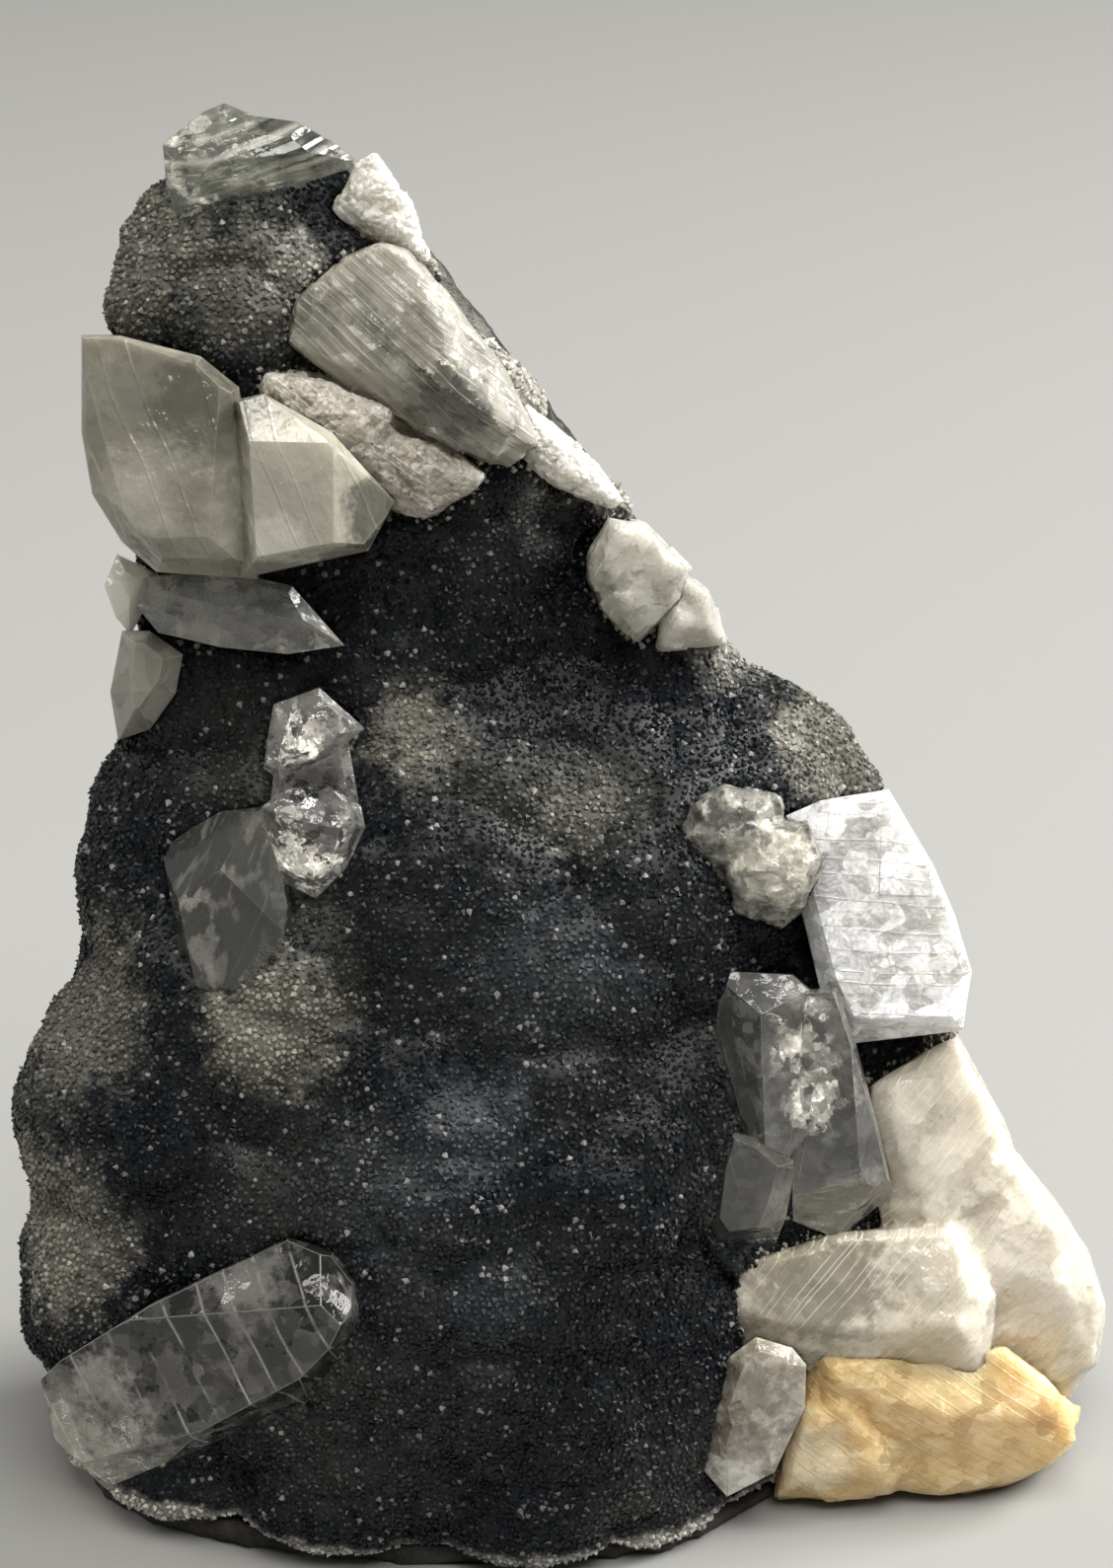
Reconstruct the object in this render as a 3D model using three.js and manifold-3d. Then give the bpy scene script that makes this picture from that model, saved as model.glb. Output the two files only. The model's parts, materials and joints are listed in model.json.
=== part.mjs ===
// Apophyllite and calcite crystals on black botryoidal chalcedony, on a wedge of basalt.
// A hand specimen that stands on its flat foot. Millimetres, +Z up, the crystals face -Y.
import * as THREE from "three";
import { ConvexGeometry } from "three/addons/geometries/ConvexGeometry.js";
import { mergeVertices } from "three/addons/utils/BufferGeometryUtils.js";
import Module from "manifold-3d";

const wasm = await Module();
wasm.setup();

const CLEARANCE = 0.3; // left between a crystal and its socket, and between crust and basalt
const ROCK_TOP = 115;
const SECTION_POWER = 2.5; // 2 is an ellipse, higher is squarer
const CRUST_FRONT = 6; // thickness of the chalcedony on the front
const CRUST_LEFT = 5.5;
const CRUST_RIGHT = 2.5;
const BASALT_LIP = 0.9; // how far the basalt shows past the crust on the upper right edge
const FAN_POINT = new THREE.Vector3(0, -315, 189); // the crystals' sides all aim at this point

// Each row is a level of the rock: its height, and where its left, right, front and back lie.
const ROCK_LEVELS = [
  { z: 0, left: -42, right: 37, front: -22.5, back: 19 },
  { z: 8, left: -44.5, right: 38, front: -24, back: 21 },
  { z: 20, left: -44, right: 38, front: -24.5, back: 21 },
  { z: 35, left: -43.5, right: 36, front: -23.5, back: 19.5 },
  { z: 48, left: -39.5, right: 33, front: -19.5, back: 17.5 },
  { z: 60, left: -36.8, right: 27, front: -15.5, back: 15.5 },
  { z: 70, left: -35.5, right: 16.4, front: -9, back: 13.5 },
  { z: 80, left: -34.5, right: 9.6, front: -5.5, back: 12 },
  { z: 90, left: -33.5, right: 1.6, front: -6, back: 11 },
  { z: 100, left: -33.5, right: -6.2, front: -7, back: 10 },
  { z: 107, left: -33.5, right: -10.8, front: -7, back: 8.5 },
  { z: 112, left: -32, right: -13.8, front: -5.5, back: 6.5 },
  { z: ROCK_TOP, left: -27.5, right: -16, front: -3, back: 4 },
];

// The rounded lumps of the chalcedony: where each stands on the front, its radius and its rise.
const LUMPS = [
  { x: -39, z: 38, radius: 11, rise: 3.8 },
  { x: -39.5, z: 20, radius: 10, rise: 3.4 },
  { x: -26.5, z: 51, radius: 9, rise: 3 },
  { x: -37, z: 58, radius: 7, rise: 1.8 },
  { x: -10, z: 64, radius: 10, rise: 3.4 },
  { x: 5, z: 58, radius: 11, rise: 3.4 },
  { x: -5, z: 52, radius: 6, rise: 2 },
  { x: -10, z: 39, radius: 9.5, rise: 4.4 },
  { x: -7, z: 24, radius: 10, rise: 3.6 },
  { x: 7, z: 37, radius: 8, rise: 1.6 },
  { x: 3, z: 8, radius: 9, rise: 1.8 },
  { x: -20, z: 8, radius: 8, rise: 1.4 },
  { x: -28, z: 105, radius: 10.5, rise: 3.2 },
  { x: -32, z: 74, radius: 7, rise: 1.6 },
  { x: 21.5, z: 66.4, radius: 6, rise: 3 },
  { x: -2, z: 84, radius: 7, rise: 1.2 },
];

// Broad hollows in the rock's front, with how far each one falls away.
const HOLLOWS = [
  { x: 28, z: 0, radius: 26, fall: 6 },
  { x: 30, z: 18, radius: 30, fall: 11 },
  { x: 26, z: 42, radius: 26, fall: 8 },
  { x: 3, z: 76, radius: 12, fall: 2 },
];

const rad = THREE.MathUtils.degToRad;
const signedPower = (value, power) => Math.sign(value) * Math.abs(value) ** power;

// Smooth value of one column of the levels at height z, by a cubic through its neighbours.
function levelValue(key, z) {
  const last = ROCK_LEVELS.length - 1;
  let i = 0;
  while (i < last - 1 && ROCK_LEVELS[i + 1].z < z) i += 1;
  const [a, b] = [ROCK_LEVELS[i], ROCK_LEVELS[i + 1]];
  const slope = (k) => {
    const before = ROCK_LEVELS[Math.max(k - 1, 0)];
    const after = ROCK_LEVELS[Math.min(k + 1, last)];
    return (after[key] - before[key]) / (after.z - before.z);
  };
  const span = b.z - a.z;
  const t = THREE.MathUtils.clamp((z - a.z) / span, 0, 1);
  const ease = t * t * (3 - 2 * t);
  const bend = t * (1 - t) * span;
  return a[key] + (b[key] - a[key]) * ease + bend * (slope(i) * (1 - t) - slope(i + 1) * t);
}

function rockLevel(z) {
  const at = (key) => levelValue(key, z);
  return { z, left: at("left"), right: at("right"), front: at("front"), back: at("back") };
}

// A point on the rounded outline of one level, and the outward direction there.
function outlinePoint(level, angle) {
  const cx = (level.left + level.right) / 2;
  const cy = (level.front + level.back) / 2;
  const ax = (level.right - level.left) / 2;
  const ay = (level.back - level.front) / 2;
  const c = signedPower(Math.cos(angle), 2 / SECTION_POWER);
  const s = signedPower(Math.sin(angle), 2 / SECTION_POWER);
  const point = new THREE.Vector3(cx + ax * c, cy + ay * s, level.z);
  const normal = new THREE.Vector3(
    signedPower(c, SECTION_POWER - 1) / ax,
    signedPower(s, SECTION_POWER - 1) / ay,
    0,
  );
  return { point, normal: normal.normalize() };
}

// Where the rock's front lies at x and z, before any lump.
function frontAt(x, z) {
  const level = rockLevel(z);
  const reach = Math.abs(x - (level.left + level.right) / 2) / ((level.right - level.left) / 2);
  const share = Math.max(0, 1 - reach ** SECTION_POWER) ** (1 / SECTION_POWER);
  return (level.front + level.back) / 2 - (share * (level.back - level.front)) / 2;
}

const onFront = (spot) => ({ ...spot, centre: new THREE.Vector3(spot.x, frontAt(spot.x, spot.z), spot.z) });
const LUMP_CENTRES = LUMPS.map(onFront);
const HOLLOW_CENTRES = HOLLOWS.map(onFront);

// How far the highest lump raises the surface at a point.
function swelling(point) {
  return LUMP_CENTRES.reduce((highest, lump) => {
    const share = 1 - (point.distanceTo(lump.centre) / lump.radius) ** 2;
    return Math.max(highest, share > 0 ? lump.rise * Math.sqrt(share) : 0);
  }, 0);
}

// How far the hollows sink the surface at a point.
function sinking(point) {
  return HOLLOW_CENTRES.reduce((sum, hollow) => {
    const share = 1 - (point.distanceTo(hollow.centre) / hollow.radius) ** 2;
    return sum + (share > 0 ? hollow.fall * share ** 2 : 0);
  }, 0);
}

// A closed skin through rings of points, with a flat bottom and a low cap.
function loft(rings, capRise) {
  const around = rings[0].length;
  const positions = rings.flat().flatMap((p) => [p.x, p.y, p.z]);
  const middle = (ring) => ring.reduce((sum, p) => sum.add(p), new THREE.Vector3()).divideScalar(around);
  const bottom = middle(rings[0]);
  const top = middle(rings[rings.length - 1]);
  positions.push(bottom.x, bottom.y, bottom.z, top.x, top.y, top.z + capRise);
  const faces = [];
  for (let ring = 0; ring < rings.length - 1; ring += 1) {
    for (let j = 0; j < around; j += 1) {
      const a = ring * around + j;
      const b = ring * around + ((j + 1) % around);
      faces.push(a, b, b + around, a, b + around, a + around);
    }
  }
  const lastRing = (rings.length - 1) * around;
  const bottomCentre = rings.length * around;
  for (let j = 0; j < around; j += 1) {
    const next = (j + 1) % around;
    faces.push(bottomCentre, next, j, bottomCentre + 1, lastRing + j, lastRing + next);
  }
  return new THREE.BufferGeometry()
    .setAttribute("position", new THREE.Float32BufferAttribute(positions, 3))
    .setIndex(faces);
}

// Angles round a level: fine steps over the front and both sides, coarse ones over the back.
function anglesRound(fineSteps, coarseSteps) {
  const start = rad(-205);
  const end = rad(25);
  const fine = Array.from({ length: fineSteps }, (_, i) => start + ((end - start) * i) / fineSteps);
  const rest = start + 2 * Math.PI - end;
  const coarse = Array.from({ length: coarseSteps }, (_, i) => end + (rest * i) / coarseSteps);
  return [...fine, ...coarse];
}

function heights(count) {
  return Array.from({ length: count }, (_, i) => (ROCK_TOP * i) / (count - 1));
}

function solidOf(geometry) {
  const bare = geometry.clone();
  bare.deleteAttribute("normal");
  bare.deleteAttribute("uv");
  const merged = mergeVertices(bare, 1e-4);
  return new wasm.Manifold(
    new wasm.Mesh({
      numProp: 3,
      vertProperties: new Float32Array(merged.attributes.position.array),
      triVerts: new Uint32Array(merged.index.array),
    }),
  );
}

function geometryOf(solid) {
  const { vertProperties, triVerts } = solid.getMesh();
  return new THREE.BufferGeometry()
    .setAttribute("position", new THREE.BufferAttribute(vertProperties, 3))
    .setIndex(new THREE.BufferAttribute(triVerts, 1));
}

const union = (solids) => solids.reduce((sum, solid) => sum.add(solid));

// The biggest body of a solid, without crumbs that a cut has left loose.
function mainBody(solid) {
  return solid.decompose().reduce((best, body) => (body.volume() > best.volume() ? body : best));
}

// The convex solid behind a set of planes, each moved outwards by grow.
function convexGeometry(planes, grow = 0) {
  const moved = planes.map((p) => new THREE.Plane(p.normal.clone(), p.constant - grow));
  const points = [];
  const basis = new THREE.Matrix3();
  for (let i = 0; i < moved.length; i += 1) {
    for (let j = i + 1; j < moved.length; j += 1) {
      for (let k = j + 1; k < moved.length; k += 1) {
        const [a, b, c] = [moved[i], moved[j], moved[k]];
        basis.set(...a.normal.toArray(), ...b.normal.toArray(), ...c.normal.toArray());
        if (Math.abs(basis.determinant()) < 1e-5) continue;
        const corner = new THREE.Vector3(-a.constant, -b.constant, -c.constant);
        corner.applyMatrix3(basis.clone().invert());
        if (moved.every((plane) => plane.distanceToPoint(corner) < 1e-5)) points.push(corner);
      }
    }
  }
  return new ConvexGeometry(points);
}

function planeThrough(normal, point) {
  return new THREE.Plane().setFromNormalAndCoplanarPoint(
    new THREE.Vector3(...normal).normalize(),
    new THREE.Vector3(...point),
  );
}

// A crystal seen from the front as a convex outline of [x, z] corners at depth y, given
// anticlockwise. Its sides run from the outline back into the rock for depth, away from the
// fan point. Its face stands rise in front of the outline, leans by tilt, and has bevels of
// width bevel round it. Each cut is a further face: its normal and a point on it.
function block({ outline, y, rise = 2, depth = 12, bevel = 2, tilt = [0, 0], draft = 0.5, cuts = [] }) {
  const corners = outline.map(([x, z]) => new THREE.Vector3(x, y, z));
  const centre = corners.reduce((sum, corner) => sum.add(corner), new THREE.Vector3());
  centre.divideScalar(corners.length);
  const into = centre.clone().sub(FAN_POINT).normalize();
  const at = (distance) => centre.clone().addScaledVector(into, distance).toArray();
  const planes = [planeThrough([tilt[0], -1, tilt[1]], at(-rise)), planeThrough(into.toArray(), at(depth))];
  corners.forEach((corner, i) => {
    const along = corners[(i + 1) % corners.length].clone().sub(corner);
    const side = corner.clone().sub(FAN_POINT).cross(along).normalize();
    const leaning = side.clone().addScaledVector(into, -Math.tan(rad(draft)));
    const upTheBevel = into.clone().multiplyScalar(-rise).addScaledVector(side, -bevel);
    planes.push(planeThrough(leaning.toArray(), corner.toArray()));
    planes.push(planeThrough(along.clone().cross(upTheBevel).toArray(), corner.toArray()));
  });
  return [...planes, ...cuts.map(([normal, point]) => planeThrough(normal, point))];
}

const grownSolid = (pieces, grow = 0) => union(pieces.map((planes) => solidOf(convexGeometry(planes, grow))));

const finish = (color, roughness, opacity = 1) =>
  new THREE.MeshStandardMaterial({ color, roughness, metalness: 0, opacity, transparent: opacity < 1 });

const FINISHES = {
  basalt: () => finish(0x3a3733, 0.9),
  chalcedony: () => finish(0x2a2f36, 0.45),
  clear: () => finish(0xb9bbb6, 0.1, 0.55),
  cloudy: () => finish(0xa9a89c, 0.3, 0.8),
  pearly: () => finish(0xe2dedb, 0.3, 0.9),
  frosted: () => finish(0xc9c3b6, 0.6),
  honey: () => finish(0xd9b06c, 0.5),
};

const TABLE = [[0, 0, -1], [0, 0, 0.1]]; // keeps a low crystal just clear of the table

// The crystals, each a list of convex pieces grown into one another. Where two of them meet,
// the later one gives way to the earlier.
const CRYSTALS = [
  {
    name: "crown_apophyllite",
    finish: "clear",
    pieces: [
      block({
        outline: [
          [-29.4, 111.6], [-16.4, 115.7], [-15.9, 116.3], [-17.4, 117.5], [-20.2, 119.1],
          [-24.2, 119.7], [-28.6, 118], [-30.2, 115],
        ],
        y: -6, rise: 2.4, depth: 9, bevel: 2.2, tilt: [0.12, 0.5],
      }),
      block({
        outline: [
          [-30.1, 113.4], [-26, 113.2], [-24, 119.6], [-25.7, 120.3], [-27.2, 119.7],
          [-30.4, 117.2],
        ],
        y: -5, rise: 1.6, depth: 8, bevel: 1.4, tilt: [-0.3, 0.3],
      }),
    ],
  },
  {
    name: "shoulder_apophyllite",
    finish: "cloudy",
    pieces: [
      block({
        outline: [
          [-35.8, 92.2], [-33.7, 88.4], [-31.2, 86], [-23.6, 85.4], [-23, 92.4], [-24.6, 100.6],
          [-27.4, 103], [-33.4, 104.6], [-36.1, 104.6], [-36.4, 97],
        ],
        y: -15, rise: 2.4, depth: 15, bevel: 1, tilt: [-0.14, 0.16],
        cuts: [
          [[0.55, -1, 0.1], [-25.8, -17.6, 96]],
          [[-0.1, -1, -0.5], [-29, -17.8, 88.6]],
          [[-0.75, -1, 0], [-34.8, -16.4, 96]],
        ],
      }),
      block({
        outline: [
          [-24.4, 86.2], [-14.8, 88.4], [-12.8, 92.2], [-17.4, 97.6], [-22.4, 100.6],
          [-24.4, 100.2],
        ],
        y: -17, rise: 2.6, depth: 15, bevel: 0.9, tilt: [0.06, 0.1],
        cuts: [
          [[0.7, -1, 0.1], [-17.4, -19.8, 92]],
          [[0.1, -1, 0.8], [-20.4, -19.8, 97]],
        ],
      }),
    ],
  },
  {
    name: "flank_blade_crystal",
    finish: "clear",
    pieces: [
      block({
        outline: [
          [-33, 82.2], [-31.5, 80.1], [-26.8, 78.9], [-21.4, 78.3], [-17.1, 78.9], [-21, 83.6],
          [-25.9, 84.9], [-32, 84.4],
        ],
        y: -12.6, rise: 1.4, depth: 12, bevel: 1.8, tilt: [0.08, 0.3],
      }),
    ],
  },
  {
    name: "flank_wedge_crystal",
    finish: "cloudy",
    pieces: [
      block({
        outline: [
          [-36.5, 80.8], [-35.7, 78.2], [-34.5, 76.5], [-33.2, 79.9], [-32.3, 81.6], [-35.5, 83.3],
        ],
        y: -4, rise: 1.6, depth: 8, bevel: 1.2, tilt: [-0.2, 0.1],
      }),
    ],
  },
  {
    name: "flank_lobe_crystal",
    finish: "cloudy",
    pieces: [
      block({
        outline: [
          [-36, 72.9], [-35.6, 69], [-33.2, 69.9], [-31.1, 72.9], [-30.4, 76.1], [-32.9, 78],
          [-34.9, 78],
        ],
        y: -7.5, rise: 2, depth: 9, bevel: 1.4, tilt: [-0.15, 0.1],
      }),
    ],
  },
  {
    name: "twin_apophyllite",
    finish: "clear",
    pieces: [
      block({
        outline: [
          [-23.1, 69.8], [-22.1, 69], [-18, 71], [-15.5, 73.1], [-18.8, 76.3], [-22.2, 75],
          [-22.6, 73],
        ],
        y: -16, rise: 1.6, depth: 10, bevel: 0.8, tilt: [0, 0.2],
        cuts: [
          [[0.9, -1, 0.3], [-17.2, -17.4, 73.4]],
          [[-0.8, -1, 0.3], [-20.8, -17.2, 73]],
        ],
      }),
      block({
        outline: [[-22.8, 66], [-16, 66], [-16.8, 71.4], [-22.2, 70.4]],
        y: -14.6, rise: 0.8, depth: 8, bevel: 0.8,
      }),
      block({
        outline: [
          [-23.3, 66.7], [-22.8, 63.7], [-22.3, 60.7], [-19.4, 59.1], [-17, 61.7], [-15.5, 65.1],
          [-15.8, 66.8], [-18.3, 68.5], [-21.3, 68.2],
        ],
        y: -17, rise: 2.2, depth: 9, bevel: 1.2, tilt: [-0.15, -0.05],
        cuts: [
          [[1, -1, -0.3], [-17.4, -18.6, 63]],
          [[0, -1, 1], [-19, -18.8, 66.6]],
          [[-0.9, -1, -0.3], [-21.2, -18.4, 63.4]],
        ],
      }),
    ],
  },
  {
    name: "left_apophyllite",
    finish: "clear",
    pieces: [
      block({
        outline: [
          [-31.7, 60.6], [-31, 56.7], [-30, 48.9], [-26.5, 48.4], [-21.9, 53.6], [-21.5, 57],
          [-22.4, 61.1], [-23.8, 65.4], [-26.9, 65], [-29.2, 63.6], [-30.8, 62.4],
        ],
        y: -14, rise: 8, depth: 8, bevel: 0.8,
        cuts: [
          [[0.484, -0.762, 0.429], [-26.5, -21, 63.1]],
          [[-0.715, -0.2, 0.697], [-26.5, -21, 63.1]],
          [[-0.22, -0.95, -0.2], [-26.5, -21, 63.1]],
        ],
      }),
    ],
  },
  {
    name: "middle_apophyllite_knot",
    finish: "cloudy",
    pieces: [
      block({
        outline: [
          [9.2, 62.2], [10.8, 59.8], [14, 57.8], [17, 59], [18.4, 62], [17.6, 66.2], [13.4, 67.2],
          [10.7, 65.8],
        ],
        y: -14, rise: 2.2, depth: 9, bevel: 2.2, tilt: [-0.1, 0.2],
      }),
      block({
        outline: [
          [13.6, 60.4], [14.4, 57.4], [18, 55.9], [19.8, 57.6], [21.1, 61.4], [19.8, 64.8],
          [16.4, 64.4],
        ],
        y: -15.6, rise: 2.2, depth: 9, bevel: 2, tilt: [0.1, 0.2],
      }),
    ],
  },
  {
    name: "bright_apophyllite",
    finish: "pearly",
    pieces: [
      block({
        outline: [
          [18.6, 63.9], [19.9, 56.3], [21.7, 48.8], [23.9, 43.8], [33.2, 45], [33.7, 50.1],
          [32.2, 55], [30.3, 59.4], [26.5, 66], [21.2, 65.1],
        ],
        y: -12, rise: 1.4, depth: 14, bevel: 0.9, tilt: [0.1, 0.06],
      }),
      block({
        outline: [[26.6, 46.6], [33.2, 46.4], [33.6, 50], [32.2, 54.4], [26.6, 54.1]],
        y: -11.6, rise: 1.4, depth: 12, bevel: 0.6, tilt: [0.18, 0.04],
      }),
      block({
        outline: [[25.6, 56.2], [31, 56.4], [28.9, 61.2], [25.8, 62.6]],
        y: -11.8, rise: 1.3, depth: 10, bevel: 0.5, tilt: [0.16, 0.12],
      }),
    ],
  },
  {
    name: "long_apophyllite_cluster",
    finish: "clear",
    pieces: [
      block({
        outline: [
          [13.2, 48.8], [13, 46.7], [14.9, 38.5], [16.5, 35.7], [19.2, 34.3], [23.2, 40.4],
          [20.9, 49.4], [19, 51.1], [14.1, 51.4],
        ],
        y: -15, rise: 8, depth: 10, bevel: 0.8,
        cuts: [
          [[-0.8, -1, 0.1], [16.4, -18.8, 48.4]],
          [[0.4, -1, 0.16], [16.4, -18.8, 48.4]],
          [[0, -0.7, 1], [17, -18.4, 49.6]],
        ],
      }),
      block({
        outline: [
          [19.1, 29.5], [23.8, 27.4], [28, 29.8], [26.4, 36.9], [24.3, 44.8], [22.5, 50.2],
          [18.9, 49.9], [18.3, 46.2], [19.3, 34.8],
        ],
        y: -15.6, rise: 8, depth: 10, bevel: 0.8,
        cuts: [
          [[-0.22, -1, 0], [24.4, -19.6, 38]],
          [[0.95, -1, 0.12], [24.4, -19.6, 38]],
          [[0.05, -1, -0.8], [23, -19.2, 34.4]],
          [[0.8, -0.7, -0.8], [25, -19.2, 33.6]],
        ],
      }),
      block({
        outline: [
          [14.2, 37.8], [13.3, 34.6], [12.5, 29.4], [14.1, 25.9], [17.8, 27.2], [18.7, 30],
          [19.6, 34.9], [16.7, 37],
        ],
        y: -16.6, rise: 2, depth: 9, bevel: 1.2, tilt: [-0.22, 0.1],
        cuts: [[[0.15, -0.8, -1], [15.6, -18.2, 29.8]]],
      }),
    ],
  },
  {
    name: "lower_left_apophyllite",
    finish: "clear",
    pieces: [
      block({
        outline: [
          [-42.5, 18], [-41.6, 12.4], [-37.7, 7.9], [-20.6, 16.1], [-17.6, 19.2], [-15.5, 23.6],
          [-16, 27.3], [-18.2, 30], [-22, 31], [-33.4, 24.8], [-40.8, 19.7],
        ],
        y: -22.6, rise: 3.4, depth: 11, bevel: 1, tilt: [-0.34, 0.12],
        cuts: [
          [[-0.5, -0.9, 0.85], [-27.5, -26.2, 24.6]],
          [[0.05, -1.17, -0.79], [-29.9, -25.6, 14.9]],
          [[1, -0.7, 0.1], [-16.4, -27.4, 23]],
          [[0.4, -0.9, 0.9], [-18.4, -27.4, 28]],
        ],
      }),
    ],
  },
  {
    name: "lower_right_apophyllite",
    finish: "cloudy",
    pieces: [
      block({
        outline: [
          [12, 12], [12.6, 6.5], [14.4, 4.2], [18.2, 6.5], [20.6, 12.7], [20.6, 16.7],
          [19.5, 18.2], [16.6, 19.2], [14.5, 17.4],
        ],
        y: -18, rise: 2.6, depth: 10, bevel: 2.2, tilt: [0.1, 0.16], cuts: [TABLE],
      }),
    ],
  },
  {
    name: "calcite_mass",
    finish: "frosted",
    pieces: [
      block({
        outline: [
          [26.4, 39], [27, 31], [30, 24], [40, 24], [39.8, 30], [37.1, 35.2], [35.8, 38.4],
          [33.9, 43.6], [31, 41.6],
        ],
        y: -9.6, rise: 1.6, depth: 16, bevel: 1.4, tilt: [0.1, 0.14], draft: 1,
      }),
      block({
        outline: [
          [27.4, 27], [30, 12], [43.3, 10.4], [46, 12], [46.5, 17.6], [44.8, 22.7], [41.5, 27.8],
          [38.6, 31.6], [33, 33],
        ],
        y: -9.4, rise: 3, depth: 18, bevel: 3.2, tilt: [0.2, 0.22], draft: 1, cuts: [TABLE],
      }),
      block({
        outline: [
          [13.1, 20.4], [14.3, 15.2], [19.7, 13.6], [23, 12], [36.4, 12], [37, 20], [32.5, 29.4],
          [28.1, 27.9], [23.6, 26.3], [18.7, 25.9], [14.8, 23.3],
        ],
        y: -13, rise: 2.4, depth: 15, bevel: 1.8, tilt: [-0.06, 0.3], draft: 1, cuts: [TABLE],
      }),
      block({
        outline: [[34, 4.6], [44.4, 7.4], [45.9, 10.6], [46.4, 14.4], [42, 19], [34, 18]],
        y: -7, rise: 1.6, depth: 14, bevel: 1.8, tilt: [0.2, 0], draft: 1, cuts: [TABLE],
      }),
      block({
        outline: [[29.6, 23.4], [31.6, 22.4], [38.8, 30.6], [38, 32], [36.4, 32.4]],
        y: -10.4, rise: 2.4, depth: 8, bevel: 0.7, tilt: [0.26, 0.16], draft: 1,
      }),
    ],
  },
  {
    name: "honey_calcite",
    finish: "honey",
    pieces: [
      block({
        outline: [
          [20, 2.6], [29, 1.7], [33.5, 1.1], [38.3, 2.4], [41.3, 3.6], [44, 6.6], [43.5, 9.8],
          [41.7, 12.2], [38.1, 15.6], [22.4, 16], [21.1, 14.5], [20.4, 8.4],
        ],
        y: -13, rise: 3, depth: 11, bevel: 3, tilt: [0.14, 0.2], draft: 1, cuts: [TABLE],
      }),
      block({
        outline: [[18.9, 1.5], [23.5, 1.3], [28.6, 1.9], [29.4, 6.4], [25, 11.4], [20.6, 11]],
        y: -14, rise: 2.2, depth: 8, bevel: 1.4, tilt: [-0.12, -0.04], draft: 1, cuts: [TABLE],
      }),
      block({
        outline: [[37, 4], [41.5, 3.6], [44.8, 6], [45, 7.2], [40, 8.6]],
        y: -9, rise: 1.4, depth: 7, bevel: 0.9, tilt: [0.2, 0], draft: 1, cuts: [TABLE],
      }),
    ],
  },
  {
    name: "upper_stilbite_plate",
    finish: "cloudy",
    pieces: [
      block({
        outline: [
          [-20.6, 103.4], [-19.6, 101.4], [-14.8, 98.8], [-9.5, 94.8], [-4.9, 93.7], [-3, 97.4],
          [-4.3, 100.4], [-8.6, 106.2], [-10.6, 110], [-13.5, 110.7], [-16.4, 109.5],
          [-19.8, 106.4],
        ],
        y: -11, rise: 1.4, depth: 11, bevel: 1.4, tilt: [-0.16, 0.16], draft: 2,
      }),
      block({
        outline: [[-9.5, 95.4], [-4, 92.6], [-1.6, 94.6], [-4.4, 100], [-9, 106.6], [-12, 104]],
        y: -8.6, rise: 1.2, depth: 10, bevel: 0.8, tilt: [0.3, 0.2], draft: 1,
      }),
    ],
  },
  {
    name: "upper_white_block",
    finish: "frosted",
    pieces: [
      block({
        outline: [
          [-17.4, 112.2], [-14.8, 110.1], [-10.3, 108.2], [-11.8, 112.7], [-14.2, 116.4],
          [-15.4, 115.5],
        ],
        y: -5, rise: 1, depth: 8, bevel: 0.7, tilt: [0.14, 0.14],
      }),
    ],
  },
  {
    name: "frosty_stilbite_fan",
    finish: "frosted",
    pieces: [
      block({
        outline: [
          [-23, 98.8], [-21.8, 96.6], [-17.7, 93.4], [-13.6, 93.4], [-13, 98], [-17.8, 100.2],
          [-22.4, 100.9],
        ],
        y: -12, rise: 1.4, depth: 10, bevel: 1.6, tilt: [-0.12, 0.1], draft: 4,
      }),
      block({
        outline: [
          [-17.5, 93.6], [-13.5, 90], [-10.4, 89.3], [-7.3, 90.9], [-5.3, 92.9], [-9.6, 94.6],
          [-14.8, 98.2],
        ],
        y: -10.6, rise: 1.4, depth: 10, bevel: 1.6, tilt: [0, -0.08], draft: 4,
      }),
    ],
  },
  {
    name: "rim_blade_upper",
    finish: "frosted",
    pieces: [
      block({
        outline: [
          [2.7, 82.6], [4.4, 79.2], [6.4, 77.3], [9.6, 80.9], [10.1, 83.2], [6.8, 86.7],
          [4.2, 87.2], [2.7, 84.4],
        ],
        y: -7, rise: 1, depth: 10, bevel: 1, tilt: [0.14, 0.14], draft: 2,
      }),
    ],
  },
  {
    name: "rim_blade_lower",
    finish: "frosted",
    pieces: [
      block({
        outline: [[8.3, 76.3], [13.3, 76.8], [12, 80.6], [10, 82.4], [8.7, 79.6]],
        y: -6, rise: 0.9, depth: 9, bevel: 0.8, tilt: [0.16, 0.14], draft: 2,
      }),
    ],
  },
  {
    name: "rim_sugar_crust",
    finish: "frosted",
    pieces: [
      block({
        outline: [[-3.4, 91.6], [-0.3, 90.2], [2.8, 87.4], [5.6, 88.6], [0.9, 93], [-2.6, 97]],
        y: -5, rise: 1, depth: 8, bevel: 0.8, tilt: [0.2, 0.16], draft: 2,
      }),
    ],
  },
  {
    name: "edge_grain_crystal",
    finish: "frosted",
    pieces: [
      block({
        outline: [[-39.4, 51.5], [-39, 48.1], [-37.8, 51], [-37.7, 54], [-38.3, 54.4]],
        y: -3, rise: 1, depth: 5, bevel: 0.7, tilt: [-0.2, 0.1],
      }),
    ],
  },
];

// The level of the basalt's core under the crust, smaller by shrink all round.
function coreLevel(z, shrink) {
  const { left, right, front, back } = rockLevel(z);
  const behind = 14;
  return {
    z,
    left: left + CRUST_LEFT + shrink,
    right: right - CRUST_RIGHT - shrink,
    front: front + CRUST_FRONT + shrink,
    back: back + behind,
  };
}

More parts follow.
